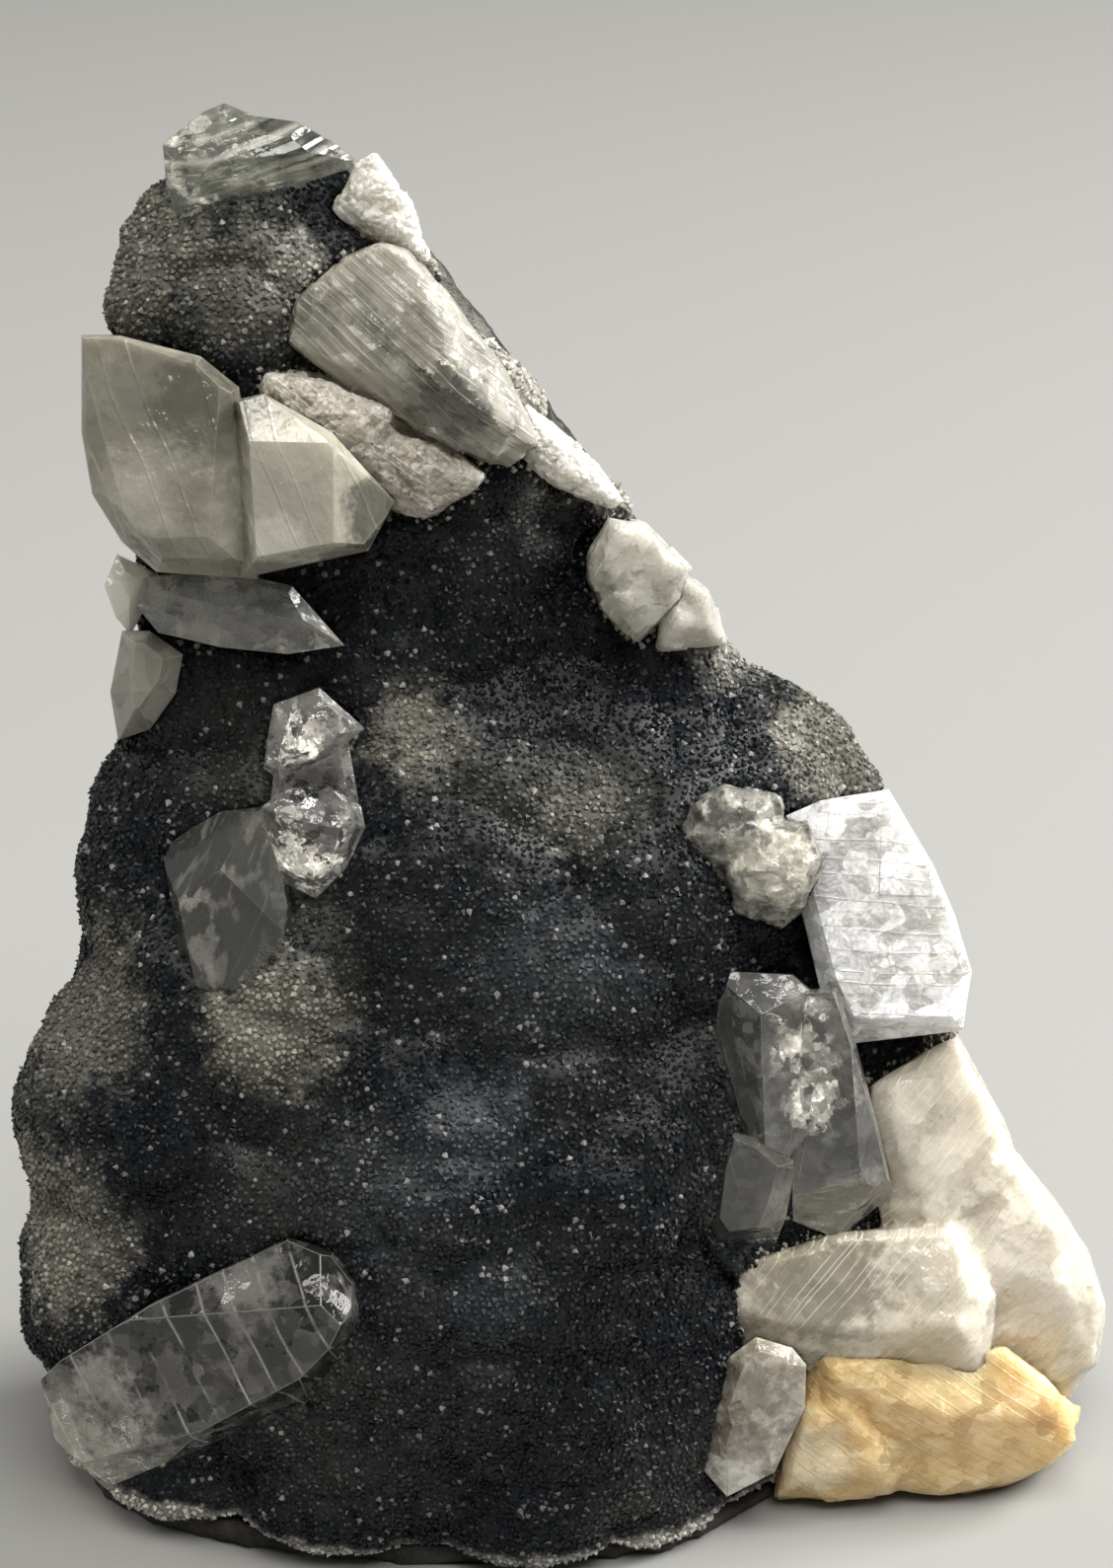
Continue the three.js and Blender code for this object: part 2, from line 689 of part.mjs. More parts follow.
function coreSolid(shrink) {
  const angles = anglesRound(15, 5);
  const top = ROCK_TOP - CRUST_RIGHT - shrink;
  const levels = 9;
  const rings = Array.from({ length: levels }, (_, i) => {
    const z = (top * i) / (levels - 1);
    const [inner, outer] = [coreLevel(z, shrink), rockLevel(z)];
    return angles.map((angle) => {
      const { point, normal } = outlinePoint(inner, angle);
      return point.addScaledVector(normal, -sinking(outlinePoint(outer, angle).point));
    });
  });
  rings.unshift(rings[0].map((p) => p.clone().setZ(-10)));
  return solidOf(loft(rings, 0.2));
}

// All that lies in front of the seam between crust and basalt, and above the crust's lower edge.
function frontRegion(grow) {
  const reach = 80;
  return solidOf(
    convexGeometry(
      [
        planeThrough([1, 0, 0], [reach, 0, 0]),
        planeThrough([-1, 0, 0], [-reach, 0, 0]),
        planeThrough([0, -1, 0], [0, -reach, 0]),
        planeThrough([0, 0, 1], [0, 0, 2 * reach]),
        planeThrough([-0.03, 0, -1], [0, 0, 2]),
        planeThrough([0.04, 1, 0.035], [0, 6, 0]),
      ],
      grow,
    ),
  );
}

function crustSolid() {
  const angles = anglesRound(34, 3);
  const rings = heights(23).map((z) => {
    const level = rockLevel(z);
    return angles.map((angle) => {
      const { point, normal } = outlinePoint(level, angle);
      return point.clone().addScaledVector(normal, swelling(point) - sinking(point));
    });
  });
  return solidOf(loft(rings, 0.9)).intersect(frontRegion(0)).subtract(coreSolid(0));
}

// The basalt's broken outside: the rock's form with a few flat fracture planes over its back.
function basaltSolid() {
  const angles = anglesRound(18, 10);
  const rings = heights(15).map((z) => {
    const level = rockLevel(z);
    const { smoothstep } = THREE.MathUtils;
    const lip = BASALT_LIP * smoothstep(z, 84, 94) * (1 - smoothstep(z, 106, 113));
    level.right += lip;
    return angles.map((angle) => {
      const { point, normal } = outlinePoint(level, angle);
      return point.clone().addScaledVector(normal, -sinking(point));
    });
  });
  const fractures = [
    [[0.35, 1, 0.25], [12, 19, 20]],
    [[-0.5, 1, 0.1], [-24, 17.5, 22]],
    [[0.1, 1, 0.05], [-8, 13, 66]],
    [[-0.6, 1, 0.4], [-26, 11, 84]],
    [[0.9, 1, 0.3], [14, 10, 60]],
    [[0, 1, -0.5], [0, 20, 8]],
  ].map(([normal, point]) => planeThrough(normal, point));
  const reach = 200;
  const box = [
    planeThrough([1, 0, 0], [reach, 0, 0]),
    planeThrough([-1, 0, 0], [-reach, 0, 0]),
    planeThrough([0, -1, 0], [0, -reach, 0]),
    planeThrough([0, 0, 1], [0, 0, reach]),
    planeThrough([0, 0, -1], [0, 0, -reach]),
  ];
  return solidOf(loft(rings, 0.6))
    .intersect(solidOf(convexGeometry([...box, ...fractures])))
    .subtract(frontRegion(CLEARANCE).subtract(coreSolid(CLEARANCE)));
}

const crystals = CRYSTALS.map(({ name, finish: look, pieces }) => ({
  name,
  look,
  solid: grownSolid(pieces),
  socket: grownSolid(pieces, CLEARANCE),
}));
const allSockets = union(crystals.map((crystal) => crystal.socket));

const specimen = new THREE.Group();

function addNode(name, solid, material) {
  const box = solid.boundingBox();
  const middle = [0, 1, 2].map((i) => (box.min[i] + box.max[i]) / 2);
  const mesh = new THREE.Mesh(geometryOf(solid.translate(middle.map((m) => -m))), material);
  mesh.name = name;
  mesh.position.set(...middle);
  specimen.add(mesh);
}

addNode("basalt_matrix", mainBody(basaltSolid().subtract(allSockets)), FINISHES.basalt());
addNode("chalcedony_crust", mainBody(crustSolid().subtract(allSockets)), FINISHES.chalcedony());
crystals.forEach(({ name, look, solid }, i) => {
  const room = crystals.slice(0, i).reduce((rest, earlier) => rest.subtract(earlier.socket), solid);
  addNode(name, mainBody(room), FINISHES[look]());
});

// The frame's origin is the middle of the foot of the whole specimen.
const bounds = new THREE.Box3().setFromObject(specimen);
const origin = bounds.getCenter(new THREE.Vector3()).setZ(bounds.min.z);
specimen.children.forEach((mesh) => mesh.position.sub(origin));

export default specimen;
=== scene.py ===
"""Looks of an apophyllite on chalcedony specimen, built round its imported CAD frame.

The crust, the basalt and every crystal are dressed copies of their CAD nodes. The quartz
druse, the cleavage veils inside the clear crystals and the sugary rim are new pieces.
Metres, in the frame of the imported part: +Z up, the crystals face -Y.
"""

import json
import logging
import math
import random
from collections.abc import Callable
from dataclasses import dataclass
from enum import Enum

import bpy
from mathutils import Matrix, Vector

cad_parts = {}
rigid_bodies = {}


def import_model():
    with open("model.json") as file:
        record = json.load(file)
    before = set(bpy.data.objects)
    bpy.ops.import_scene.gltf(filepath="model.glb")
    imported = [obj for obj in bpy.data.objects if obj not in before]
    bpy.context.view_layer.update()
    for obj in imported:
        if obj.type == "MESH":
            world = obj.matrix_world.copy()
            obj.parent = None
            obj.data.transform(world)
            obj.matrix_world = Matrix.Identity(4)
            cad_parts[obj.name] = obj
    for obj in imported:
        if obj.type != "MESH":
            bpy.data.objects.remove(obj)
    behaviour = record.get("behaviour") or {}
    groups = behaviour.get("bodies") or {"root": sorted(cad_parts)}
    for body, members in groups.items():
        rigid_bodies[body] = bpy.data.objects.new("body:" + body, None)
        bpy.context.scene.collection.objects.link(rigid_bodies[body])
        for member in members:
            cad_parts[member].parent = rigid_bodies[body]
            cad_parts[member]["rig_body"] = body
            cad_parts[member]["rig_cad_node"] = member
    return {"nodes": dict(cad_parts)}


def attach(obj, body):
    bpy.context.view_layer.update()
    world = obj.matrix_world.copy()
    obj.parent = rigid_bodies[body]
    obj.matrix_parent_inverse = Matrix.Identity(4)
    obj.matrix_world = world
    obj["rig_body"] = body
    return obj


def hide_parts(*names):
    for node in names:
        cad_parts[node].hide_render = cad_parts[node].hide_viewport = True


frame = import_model()

MM = 0.001
MM_PER_METRE = (1000, 1000, 1000)
BODY = "root"
CRYSTAL_IOR = 1.53
SEE_THROUGH = 0.65  # crystals that let more through than this also let the lamps through
EDGE_SLOPE = 0.655  # how far the upper right edge moves left for each millimetre upwards
EDGE_START = 58.4  # where that edge would meet the foot
UPPER_EDGE = (70.0, 75.0)  # the heights between which that edge's pale rim sets in
FOOT_RIM = (3.2, 1.9)  # the heights between which the foot's pale rim sets in
SMOOTH_BELOW = math.radians(34)  # steeper edges of a broken surface stay sharp
EDGE_ABOVE = math.radians(14)  # flatter edges of a crystal aren't bevelled
FLAT_BELOW = math.radians(2)  # faces this close to one plane are one face
EDGE_TRANSMISSION = 0.55
EDGE_ROUGHNESS = 0.3
RIM_AMOUNT = 0.5
CRUST_RIM_AMOUNT = 0.85
CRUST_RIM_WIDTH = 1.6
FRONT_STRIP = (8.9, 8.1)  # how far back the basalt's pale front line fades out
Colour = tuple[float, float, float]
Triple = tuple[float, float, float]
Value = bpy.types.NodeSocket | float
Tint = bpy.types.NodeSocket | Colour
RIM_PALE: Colour = (0.7, 0.68, 0.62)
LAMPS_THROUGH: Colour = (0.9, 0.9, 0.87)
LAMPS_THROUGH_EDGE: Colour = (0.8, 0.8, 0.77)
GLOW: Triple = (1.0, 0.92, 0.8)  # how far red, green and blue spread under a cloudy surface
log = logging.getLogger("specimen")


class Slot(Enum):
    """The record's material slots."""

    BASALT = "basalt"
    CHALCEDONY = "chalcedony"
    CLEAR = "clear_apophyllite"
    CLOUDY = "cloudy_apophyllite"
    PEARLY = "pearly_apophyllite"
    PALE = "pale_crystal"
    HONEY = "honey_calcite"


class Texture(Enum):
    """Kinds of surface relief that a crystal finish can carry."""

    GROWTH = "growth"
    STRIAE = "striae"
    SUGAR = "sugar"
    WAX = "wax"


class Graph:
    """Adds nodes to one node tree and joins them."""

    def __init__(self, tree: bpy.types.NodeTree) -> None:
        """Keeps the tree that it adds to."""
        self.tree = tree

    def add(self, kind: str, inputs: dict | None = None, **settings: object) -> bpy.types.Node:
        """Adds a node.

        Args:
            kind: the node's type name.
            inputs: values or output sockets for its inputs, by name or index.
            settings: attributes to set on the node.

        Returns:
            The new node.
        """
        made = self.tree.nodes.new(kind)
        for key, value in settings.items():
            setattr(made, key, value)
        for key, value in (inputs or {}).items():
            if isinstance(value, bpy.types.NodeSocket):
                self.tree.links.new(value, made.inputs[key])
            else:
                made.inputs[key].default_value = value
        return made

    def math(self, operation: str, *values: Value, clamp: bool = False) -> bpy.types.NodeSocket:
        """Adds a math node.

        Args:
            operation: its operation.
            values: numbers or output sockets for its inputs.
            clamp: whether the result stays between 0 and 1.

        Returns:
            Its result.
        """
        node = self.add("ShaderNodeMath", dict(enumerate(values)), operation=operation)
        node.use_clamp = clamp
        return node.outputs[0]

    def ramp(self, value: bpy.types.NodeSocket, low: float, high: float) -> bpy.types.NodeSocket:
        """Returns a smooth step of value from 0 at low to 1 at high."""
        node = self.add("ShaderNodeMapRange", {0: value, 1: low, 2: high}, interpolation_type="SMOOTHSTEP")
        return node.outputs[0]

    def mix(self, factor: Value, first: Tint, second: Tint) -> bpy.types.NodeSocket:
        """Adds a blend of two colours.

        Args:
            factor: how much of the second there is.
            first: the first colour.
            second: the second colour.

        Returns:
            The blend.
        """
        node = self.add("ShaderNodeMix", data_type="RGBA")
        for index, value in ((0, factor), (6, first), (7, second)):
            socket = node.inputs[index]
            if isinstance(value, bpy.types.NodeSocket):
                self.tree.links.new(value, socket)
            else:
                socket.default_value = (*value, 1) if isinstance(value, tuple) else value
        return node.outputs[2]


def new_group(name: str, inputs: dict, outputs: dict) -> tuple[bpy.types.NodeTree, Graph, dict, dict]:
    """Makes an empty shader group.

    Args:
        name: the group's name.
        inputs: socket type, or (type, default), by name.
        outputs: socket type by name.

    Returns:
        The tree, its graph, its input sockets by name and its output sockets by name.
    """
    tree = bpy.data.node_groups.new(name, "ShaderNodeTree")
    for label, kind in inputs.items():
        kind, default = kind if isinstance(kind, tuple) else (kind, None)
        socket = tree.interface.new_socket(label, in_out="INPUT", socket_type=kind)
        if default is not None:
            socket.default_value = default
    for label, kind in outputs.items():
        tree.interface.new_socket(label, in_out="OUTPUT", socket_type=kind)
    graph = Graph(tree)
    start = graph.add("NodeGroupInput")
    end = graph.add("NodeGroupOutput")
    return tree, graph, {s.name: s for s in start.outputs}, {s.name: s for s in end.inputs}


class ShaderGroups:
    """The shader groups that the finishes share. Their lengths are in millimetres."""

    def __init__(self) -> None:
        """Builds the groups."""
        self.place = self._place()
        self.mottle = self._mottle()
        self.bands = self._bands()
        self.spot = self._spot()
        self.facets = self._facets()

    @staticmethod
    def _place() -> bpy.types.NodeTree:
        """Object coordinates in millimetres, turned and stretched.

        Returns:
            The group.
        """
        tree, g, given, made = new_group(
            "place_mm",
            {"Turn": "NodeSocketVector", "Stretch": ("NodeSocketVector", (1, 1, 1))},
            {"Vector": "NodeSocketVector"},
        )
        here = g.add("ShaderNodeTexCoord").outputs["Object"]
        scaled = g.add("ShaderNodeVectorMath", {0: here, 1: MM_PER_METRE}, operation="MULTIPLY")
        turned = g.add("ShaderNodeMapping", {"Vector": scaled.outputs[0], "Rotation": given["Turn"]})
        held = g.add(
            "ShaderNodeVectorMath", {0: turned.outputs[0], 1: given["Stretch"]}, operation="MULTIPLY"
        )
        tree.links.new(held.outputs[0], made["Vector"])
        return tree

    @staticmethod
    def _mottle() -> bpy.types.NodeTree:
        """Two layers of noise, as a soft mask and as a fine height.

        Returns:
            The group.
        """
        tree, g, given, made = new_group(
            "mottle",
            {
                "Vector": "NodeSocketVector",
                "Size": ("NodeSocketFloat", 4.0),
                "Low": ("NodeSocketFloat", 0.4),
                "High": ("NodeSocketFloat", 0.6),
            },
            {"Mask": "NodeSocketFloat", "Height": "NodeSocketFloat"},
        )
        scale = g.math("DIVIDE", 1.0, given["Size"])
        broad = g.add(
            "ShaderNodeTexNoise",
            {"Vector": given["Vector"], "Scale": scale, "Detail": 5.0, "Roughness": 0.6},
        )
        fine = g.add(
            "ShaderNodeTexNoise",
            {
                "Vector": given["Vector"], "Scale": g.math("MULTIPLY", scale, 7.0),
                "Detail": 3.0, "Roughness": 0.7,
            },
        )
        mask = g.add("ShaderNodeMapRange", {0: broad.outputs[0], 1: given["Low"], 2: given["High"]})
        mask.interpolation_type = "SMOOTHSTEP"
        broad_part = g.math("MULTIPLY", broad.outputs[0], 0.7)
        height = g.math("ADD", broad_part, g.math("MULTIPLY", fine.outputs[0], 0.3))
        tree.links.new(mask.outputs[0], made["Mask"])
        tree.links.new(height, made["Height"])
        return tree

    @staticmethod
    def _bands() -> bpy.types.NodeTree:
        """Broken parallel lines across X: thin bright lines as a mask, and steps as a height.

        Returns:
            The group.
        """
        tree, g, given, made = new_group(
            "bands",
            {
                "Vector": "NodeSocketVector",
                "Spacing": ("NodeSocketFloat", 1.0),
                "Width": ("NodeSocketFloat", 0.2),
                "Broken": ("NodeSocketFloat", 0.5),
            },
            {"Lines": "NodeSocketFloat", "Steps": "NodeSocketFloat"},
        )
        along = g.add("ShaderNodeSeparateXYZ", {0: given["Vector"]}).outputs[0]
        sway = g.add(
            "ShaderNodeTexNoise", {"Vector": given["Vector"], "Scale": 0.12, "Detail": 1.0}
        ).outputs[0]
        phase = g.math("DIVIDE", g.math("MULTIPLY_ADD", sway, 1.2, along), given["Spacing"])
        cell = g.math("FLOOR", phase)
        offset = g.add("ShaderNodeTexWhiteNoise", {"W": cell}, noise_dimensions="1D").outputs[0]
        line = g.math("MULTIPLY_ADD", offset, 0.6, 0.2)
        inside = g.math("ABSOLUTE", g.math("SUBTRACT", g.math("FRACT", phase), line))
        thin = g.add("ShaderNodeMapRange", {0: inside, 1: given["Width"], 2: 0.0})
        drawn = g.add("ShaderNodeVectorMath", {0: given["Vector"], 1: (1.0, 1.0, 0.1)}, operation="MULTIPLY")
        gaps = g.add(
            "ShaderNodeTexNoise",
            {"Vector": drawn.outputs[0], "Scale": 0.6, "Detail": 3.0, "Roughness": 0.6},
        ).outputs[0]
        whole = g.math("ADD", given["Broken"], 0.12)
        kept = g.add("ShaderNodeMapRange", {0: gaps, 1: given["Broken"], 2: whole})
        tree.links.new(g.math("MULTIPLY", thin.outputs[0], kept.outputs[0]), made["Lines"])
        tree.links.new(g.math("ADD", offset, g.math("MULTIPLY", thin.outputs[0], 0.4)), made["Steps"])
        return tree

    @staticmethod
    def _facets() -> bpy.types.NodeTree:
        """Small flat facets, each tilted its own way, as a height, with a shade for each.

        Returns:
            The group.
        """
        tree, g, given, made = new_group(
            "facets",
            {"Vector": "NodeSocketVector", "Size": ("NodeSocketFloat", 1.0)},
            {"Height": "NodeSocketFloat", "Shade": "NodeSocketFloat"},
        )
        bend = g.add("ShaderNodeTexNoise", {"Vector": given["Vector"], "Scale": 0.7, "Detail": 3.0})
        shift = g.add(
            "ShaderNodeVectorMath", {0: bend.outputs["Color"], 1: (1.2, 1.2, 1.2)}, operation="MULTIPLY"
        )
        bent = g.add("ShaderNodeVectorMath", {0: given["Vector"], 1: shift.outputs[0]}, operation="ADD")
        cells = g.add(
            "ShaderNodeTexVoronoi",
            {"Vector": bent.outputs[0], "Scale": g.math("DIVIDE", 1.0, given["Size"])},
        )
        inside = g.add(
            "ShaderNodeVectorMath", {0: bent.outputs[0], 1: cells.outputs["Position"]}, operation="SUBTRACT"
        )
        centred = g.add(
            "ShaderNodeVectorMath", {0: cells.outputs["Color"], 1: (0.5, 0.5, 0.5)}, operation="SUBTRACT"
        )
        slope = g.add(
            "ShaderNodeVectorMath", {0: inside.outputs[0], 1: centred.outputs[0]}, operation="DOT_PRODUCT"
        )
        tree.links.new(slope.outputs["Value"], made["Height"])
        shade = g.add("ShaderNodeSeparateXYZ", {0: cells.outputs["Color"]})
        tree.links.new(shade.outputs[0], made["Shade"])
        return tree

    @staticmethod
    def _spot() -> bpy.types.NodeTree:
        """A soft blot round a centre, with a ragged edge.

        Returns:
            The group.
        """
        tree, g, given, made = new_group(
            "spot",
            {
                "Centre": "NodeSocketVector",
                "Radius": ("NodeSocketFloat", 5.0),
                "Ragged": ("NodeSocketFloat", 2.0),
            },
            {"Mask": "NodeSocketFloat"},
        )
        here = g.add("ShaderNodeTexCoord").outputs["Object"]
        scaled = g.add("ShaderNodeVectorMath", {0: here, 1: MM_PER_METRE}, operation="MULTIPLY").outputs[0]
        away = g.add("ShaderNodeVectorMath", {0: scaled, 1: given["Centre"]}, operation="DISTANCE")
        noise = g.add("ShaderNodeTexNoise", {"Vector": scaled, "Scale": 0.6, "Detail": 4.0, "Roughness": 0.7})
        shake = g.math("SUBTRACT", noise.outputs[0], 0.5)
        strength = g.math("MULTIPLY", given["Ragged"], 3.0)
        shaken = g.math("ADD", away.outputs["Value"], g.math("MULTIPLY", shake, strength))
        core = g.math("SUBTRACT", given["Radius"], given["Ragged"])
        mask = g.add("ShaderNodeMapRange", {0: shaken, 1: given["Radius"], 2: core})
        mask.interpolation_type = "SMOOTHSTEP"
        tree.links.new(mask.outputs[0], made["Mask"])
        return tree


def blank_material(name: str) -> tuple[bpy.types.Material, Graph, bpy.types.Node, bpy.types.Node]:
    """Makes a material.

    Args:
        name: its name.

    Returns:
        The material, its graph, its Principled shader and its output.
    """
    material = bpy.data.materials.new(name)
    material.use_nodes = True
    graph = Graph(material.node_tree)
    shader = material.node_tree.nodes["Principled BSDF"]
    return material, graph, shader, material.node_tree.nodes["Material Output"]


def pale_rims(g: Graph, wide: float) -> bpy.types.NodeSocket:
    """Makes the mask of the pale broken rims, at the foot and along the upper right edge.

    Args:
        g: the graph of the material.
        wide: the width of the right rim in millimetres.

    Returns:
        The mask.
    """
    here = g.add("ShaderNodeTexCoord").outputs["Object"]
    where = g.add("ShaderNodeVectorMath", {0: here, 1: MM_PER_METRE}, operation="MULTIPLY").outputs[0]
    x, _, z = g.add("ShaderNodeSeparateXYZ", {0: where}).outputs
    uneven = g.add("ShaderNodeTexNoise", {"Vector": where, "Scale": 0.5, "Detail": 4.0}).outputs[0]
    shake = g.math("MULTIPLY", g.math("SUBTRACT", uneven, 0.5), 3.0)
    climb = g.math("MULTIPLY", g.math("MINIMUM", g.math("ADD", x, 18.0), 0.0), 0.1)
    foot = g.ramp(g.math("ADD", g.math("ADD", z, climb), shake), *FOOT_RIM)
    seam = g.math("ADD", g.math("MULTIPLY_ADD", z, EDGE_SLOPE, x), shake)
    edge = g.math("MULTIPLY", g.ramp(seam, EDGE_START - wide, EDGE_START), g.ramp(z, *UPPER_EDGE))
    return g.math("MAXIMUM", foot, edge)


def let_light_through(g: Graph, shader: bpy.types.Node, output: bpy.types.Node, tint: Colour) -> None:
    """Lets the lamps shine through a glassy surface, onto what lies behind it.

    Args:
        g: the graph of the material.
        shader: its Principled shader.
        output: its output.
        tint: the colour of the light that comes through.
    """
    path = g.add("ShaderNodeLightPath")
    clear = g.add("ShaderNodeBsdfTransparent", {"Color": (*tint, 1)})
    mixed = g.add(
        "ShaderNodeMixShader",
        {0: path.outputs["Is Shadow Ray"], 1: shader.outputs[0], 2: clear.outputs[0]},
    )
    g.tree.links.new(mixed.outputs[0], output.inputs["Surface"])


@dataclass(frozen=True)
class Patch:
    """A blot of another colour on a surface, some blots for the thing's own tones and some for painted light
    and shade: its centre and radius in millimetres.
    """

    centre: Triple
    radius: float
    colour: Colour
    amount: float = 0.7
    ragged: float = 0.5

    def paint(self, g: Graph, groups: ShaderGroups, colour: Tint) -> bpy.types.NodeSocket:
        """Paints this patch.

        Args:
            g: the graph of the material.
            groups: the shared shader groups.
            colour: the colour under the patch.

        Returns:
            The colour with the patch over it.
        """
        spot = g.add("ShaderNodeGroup", node_tree=groups.spot)
        spot.inputs["Centre"].default_value = self.centre
        spot.inputs["Radius"].default_value = self.radius
        spot.inputs["Ragged"].default_value = self.radius * self.ragged
        return g.mix(g.math("MULTIPLY", spot.outputs["Mask"], self.amount), colour, self.colour)


@dataclass(frozen=True)
class CrystalFinish:
    """How one crystal looks. Lengths in millimetres, angles in degrees.

    The faces carry relief of one texture. A mottled cloud of veil colour lies over them, then
    the patches, and bright broken lines mark the cleavage, rising to the right at line_rise.
    """

    name: str
    slot: Slot
    colour: Colour
    veil: Colour = (0.6, 0.6, 0.57)
    cloud: Triple = (5.0, 0.5, 0.7)
    cloud_amount: float = 0.5
    roughness: tuple[float, float] = (0.04, 0.35)
    transmission: float = 1.0
    subsurface: float = 0.0
    depth: float = 4.0
    absorption: Colour = (0.75, 0.77, 0.74)
    density: float = 0.0
    relief: Texture = Texture.GROWTH
    relief_height: float = 0.06
    lines: Triple | None = None
    line_amount: float = 0.7
    line_rise: float = 90.0
    facets: tuple[float, float, float] | None = None
    patches: tuple[Patch, ...] = ()
    edge: Colour | None = None
    rim: float = 0.0

    def build(self, groups: ShaderGroups) -> bpy.types.Material:
        """Makes the crystal's material.

        Args:
            groups: the shared shader groups.

        Returns:
            The material.
        """
        material, g, shader, output = blank_material(self.name)
        place = g.add("ShaderNodeGroup", node_tree=groups.place)
        place.inputs["Turn"].default_value = (0.0, math.radians(self.line_rise - 90), 0.0)
        where = place.outputs["Vector"]
        mottle = g.add("ShaderNodeGroup", node_tree=groups.mottle)
        g.tree.links.new(where, mottle.inputs["Vector"])
        for label, value in zip(("Size", "Low", "High"), self.cloud):
            mottle.inputs[label].default_value = value
        cloud = g.math("MULTIPLY", mottle.outputs["Mask"], self.cloud_amount)
        colour = g.mix(cloud, self.colour, self.veil)
        for patch in self.patches:
            colour = patch.paint(g, groups, colour)
        if self.rim:
            colour = g.mix(g.math("MULTIPLY", pale_rims(g, self.rim), RIM_AMOUNT), colour, RIM_PALE)
        rough = g.math("MULTIPLY_ADD", cloud, self.roughness[1] - self.roughness[0], self.roughness[0])
        height = self._relief(g, groups, where, mottle.outputs["Height"])
        if self.lines:
            bands = self._bands(g, groups, where, self.lines)
            marks = g.math("MULTIPLY", bands.outputs["Lines"], self.line_amount)
            colour = g.mix(marks, colour, tuple(min(1.0, c * 1.2 + 0.15) for c in self.veil))
            rough = g.math("MULTIPLY_ADD", marks, 0.3, rough)
            height = g.math("MULTIPLY_ADD", bands.outputs["Steps"], 0.8, height)
        bump = g.add(
            "ShaderNodeBump", {"Height": height, "Strength": 1.0, "Distance": self.relief_height * MM}
        )
        if self.facets:
            size, slope, contrast = self.facets
            cells = g.add("ShaderNodeGroup", node_tree=groups.facets)
            g.tree.links.new(where, cells.inputs["Vector"])
            cells.inputs["Size"].default_value = size
            bump = g.add(
                "ShaderNodeBump",
                {"Height": cells.outputs["Height"], "Normal": bump.outputs[0], "Distance": slope * MM},
            )
            shade = g.math("MULTIPLY", g.ramp(cells.outputs["Shade"], 0.35, 0.9), contrast)
            colour = g.mix(shade, colour, self.veil)
        g.tree.links.new(colour, shader.inputs["Base Color"])
        g.tree.links.new(rough, shader.inputs["Roughness"])
        g.tree.links.new(bump.outputs[0], shader.inputs["Normal"])
        if self.transmission > SEE_THROUGH:
            let_light_through(g, shader, output, LAMPS_THROUGH)
        shader.inputs["Transmission Weight"].default_value = self.transmission
        shader.inputs["IOR"].default_value = CRYSTAL_IOR
        if self.subsurface:
            shader.inputs["Subsurface Weight"].default_value = self.subsurface
            shader.inputs["Subsurface Radius"].default_value = GLOW
            shader.inputs["Subsurface Scale"].default_value = self.depth * MM
        if self.density:
            inside = g.add("ShaderNodeVolumeAbsorption")
            inside.inputs["Color"].default_value = (*self.absorption, 1)
            inside.inputs["Density"].default_value = self.density / MM
            g.tree.links.new(inside.outputs[0], output.inputs["Volume"])
        return material

    def build_edge(self) -> bpy.types.Material:
        """Makes the frosty pale material of the bevelled edges, partly wear and partly a painted edge
        highlight.

        Returns:
            The material.
        """
        material, g, shader, output = blank_material(self.name + "_edge")
        if self.transmission > SEE_THROUGH:
            let_light_through(g, shader, output, LAMPS_THROUGH_EDGE)
        shader.inputs["Base Color"].default_value = (*self.edge, 1)
        shader.inputs["Roughness"].default_value = EDGE_ROUGHNESS
        shader.inputs["Transmission Weight"].default_value = EDGE_TRANSMISSION
        shader.inputs["IOR"].default_value = CRYSTAL_IOR
        return material

    @staticmethod
    def _bands(
        g: Graph, groups: ShaderGroups, where: bpy.types.NodeSocket, values: Triple
    ) -> bpy.types.Node:
        """Adds broken parallel lines.

        Args:
            g: the graph of the material.
            groups: the shared shader groups.
            where: the coordinates that they follow.
            values: their spacing, width and brokenness.

        Returns:
            The bands group's node.
        """
        bands = g.add("ShaderNodeGroup", node_tree=groups.bands)
        g.tree.links.new(where, bands.inputs["Vector"])
        for label, value in zip(("Spacing", "Width", "Broken"), values):
            bands.inputs[label].default_value = value
        return bands

    def _relief(
        self, g: Graph, groups: ShaderGroups, where: bpy.types.NodeSocket, soft: bpy.types.NodeSocket
    ) -> bpy.types.NodeSocket:
        """Adds the finish's own relief.

        Args:
            g: the graph of the material.
            groups: the shared shader groups.
            where: the coordinates that it follows.
            soft: the soft height under it.

        Returns:
            The height.
        """
        if self.relief is Texture.GROWTH:
            plates = g.add(
                "ShaderNodeTexVoronoi", {"Vector": where, "Scale": 0.45, "Detail": 2.0}, feature="F1",
                distance="MANHATTAN",
            )
            return g.math("MULTIPLY_ADD", plates.outputs["Distance"], 0.6, soft)
        if self.relief is Texture.STRIAE:
            bands = self._bands(g, groups, where, (0.9, 0.5, 0.0))
            return g.math("MULTIPLY_ADD", bands.outputs["Steps"], 1.6, soft)
        if self.relief is Texture.SUGAR:
            grains = g.add("ShaderNodeTexVoronoi", {"Vector": where, "Scale": 1.6}, feature="F1")
            return g.math("MULTIPLY_ADD", grains.outputs["Distance"], -1.5, soft)
        streaks = g.add(
            "ShaderNodeTexNoise", {"Vector": where, "Scale": 1.4, "Detail": 4.0, "Distortion": 0.6}
        )
        return g.math("MULTIPLY_ADD", streaks.outputs[0], 0.8, soft)


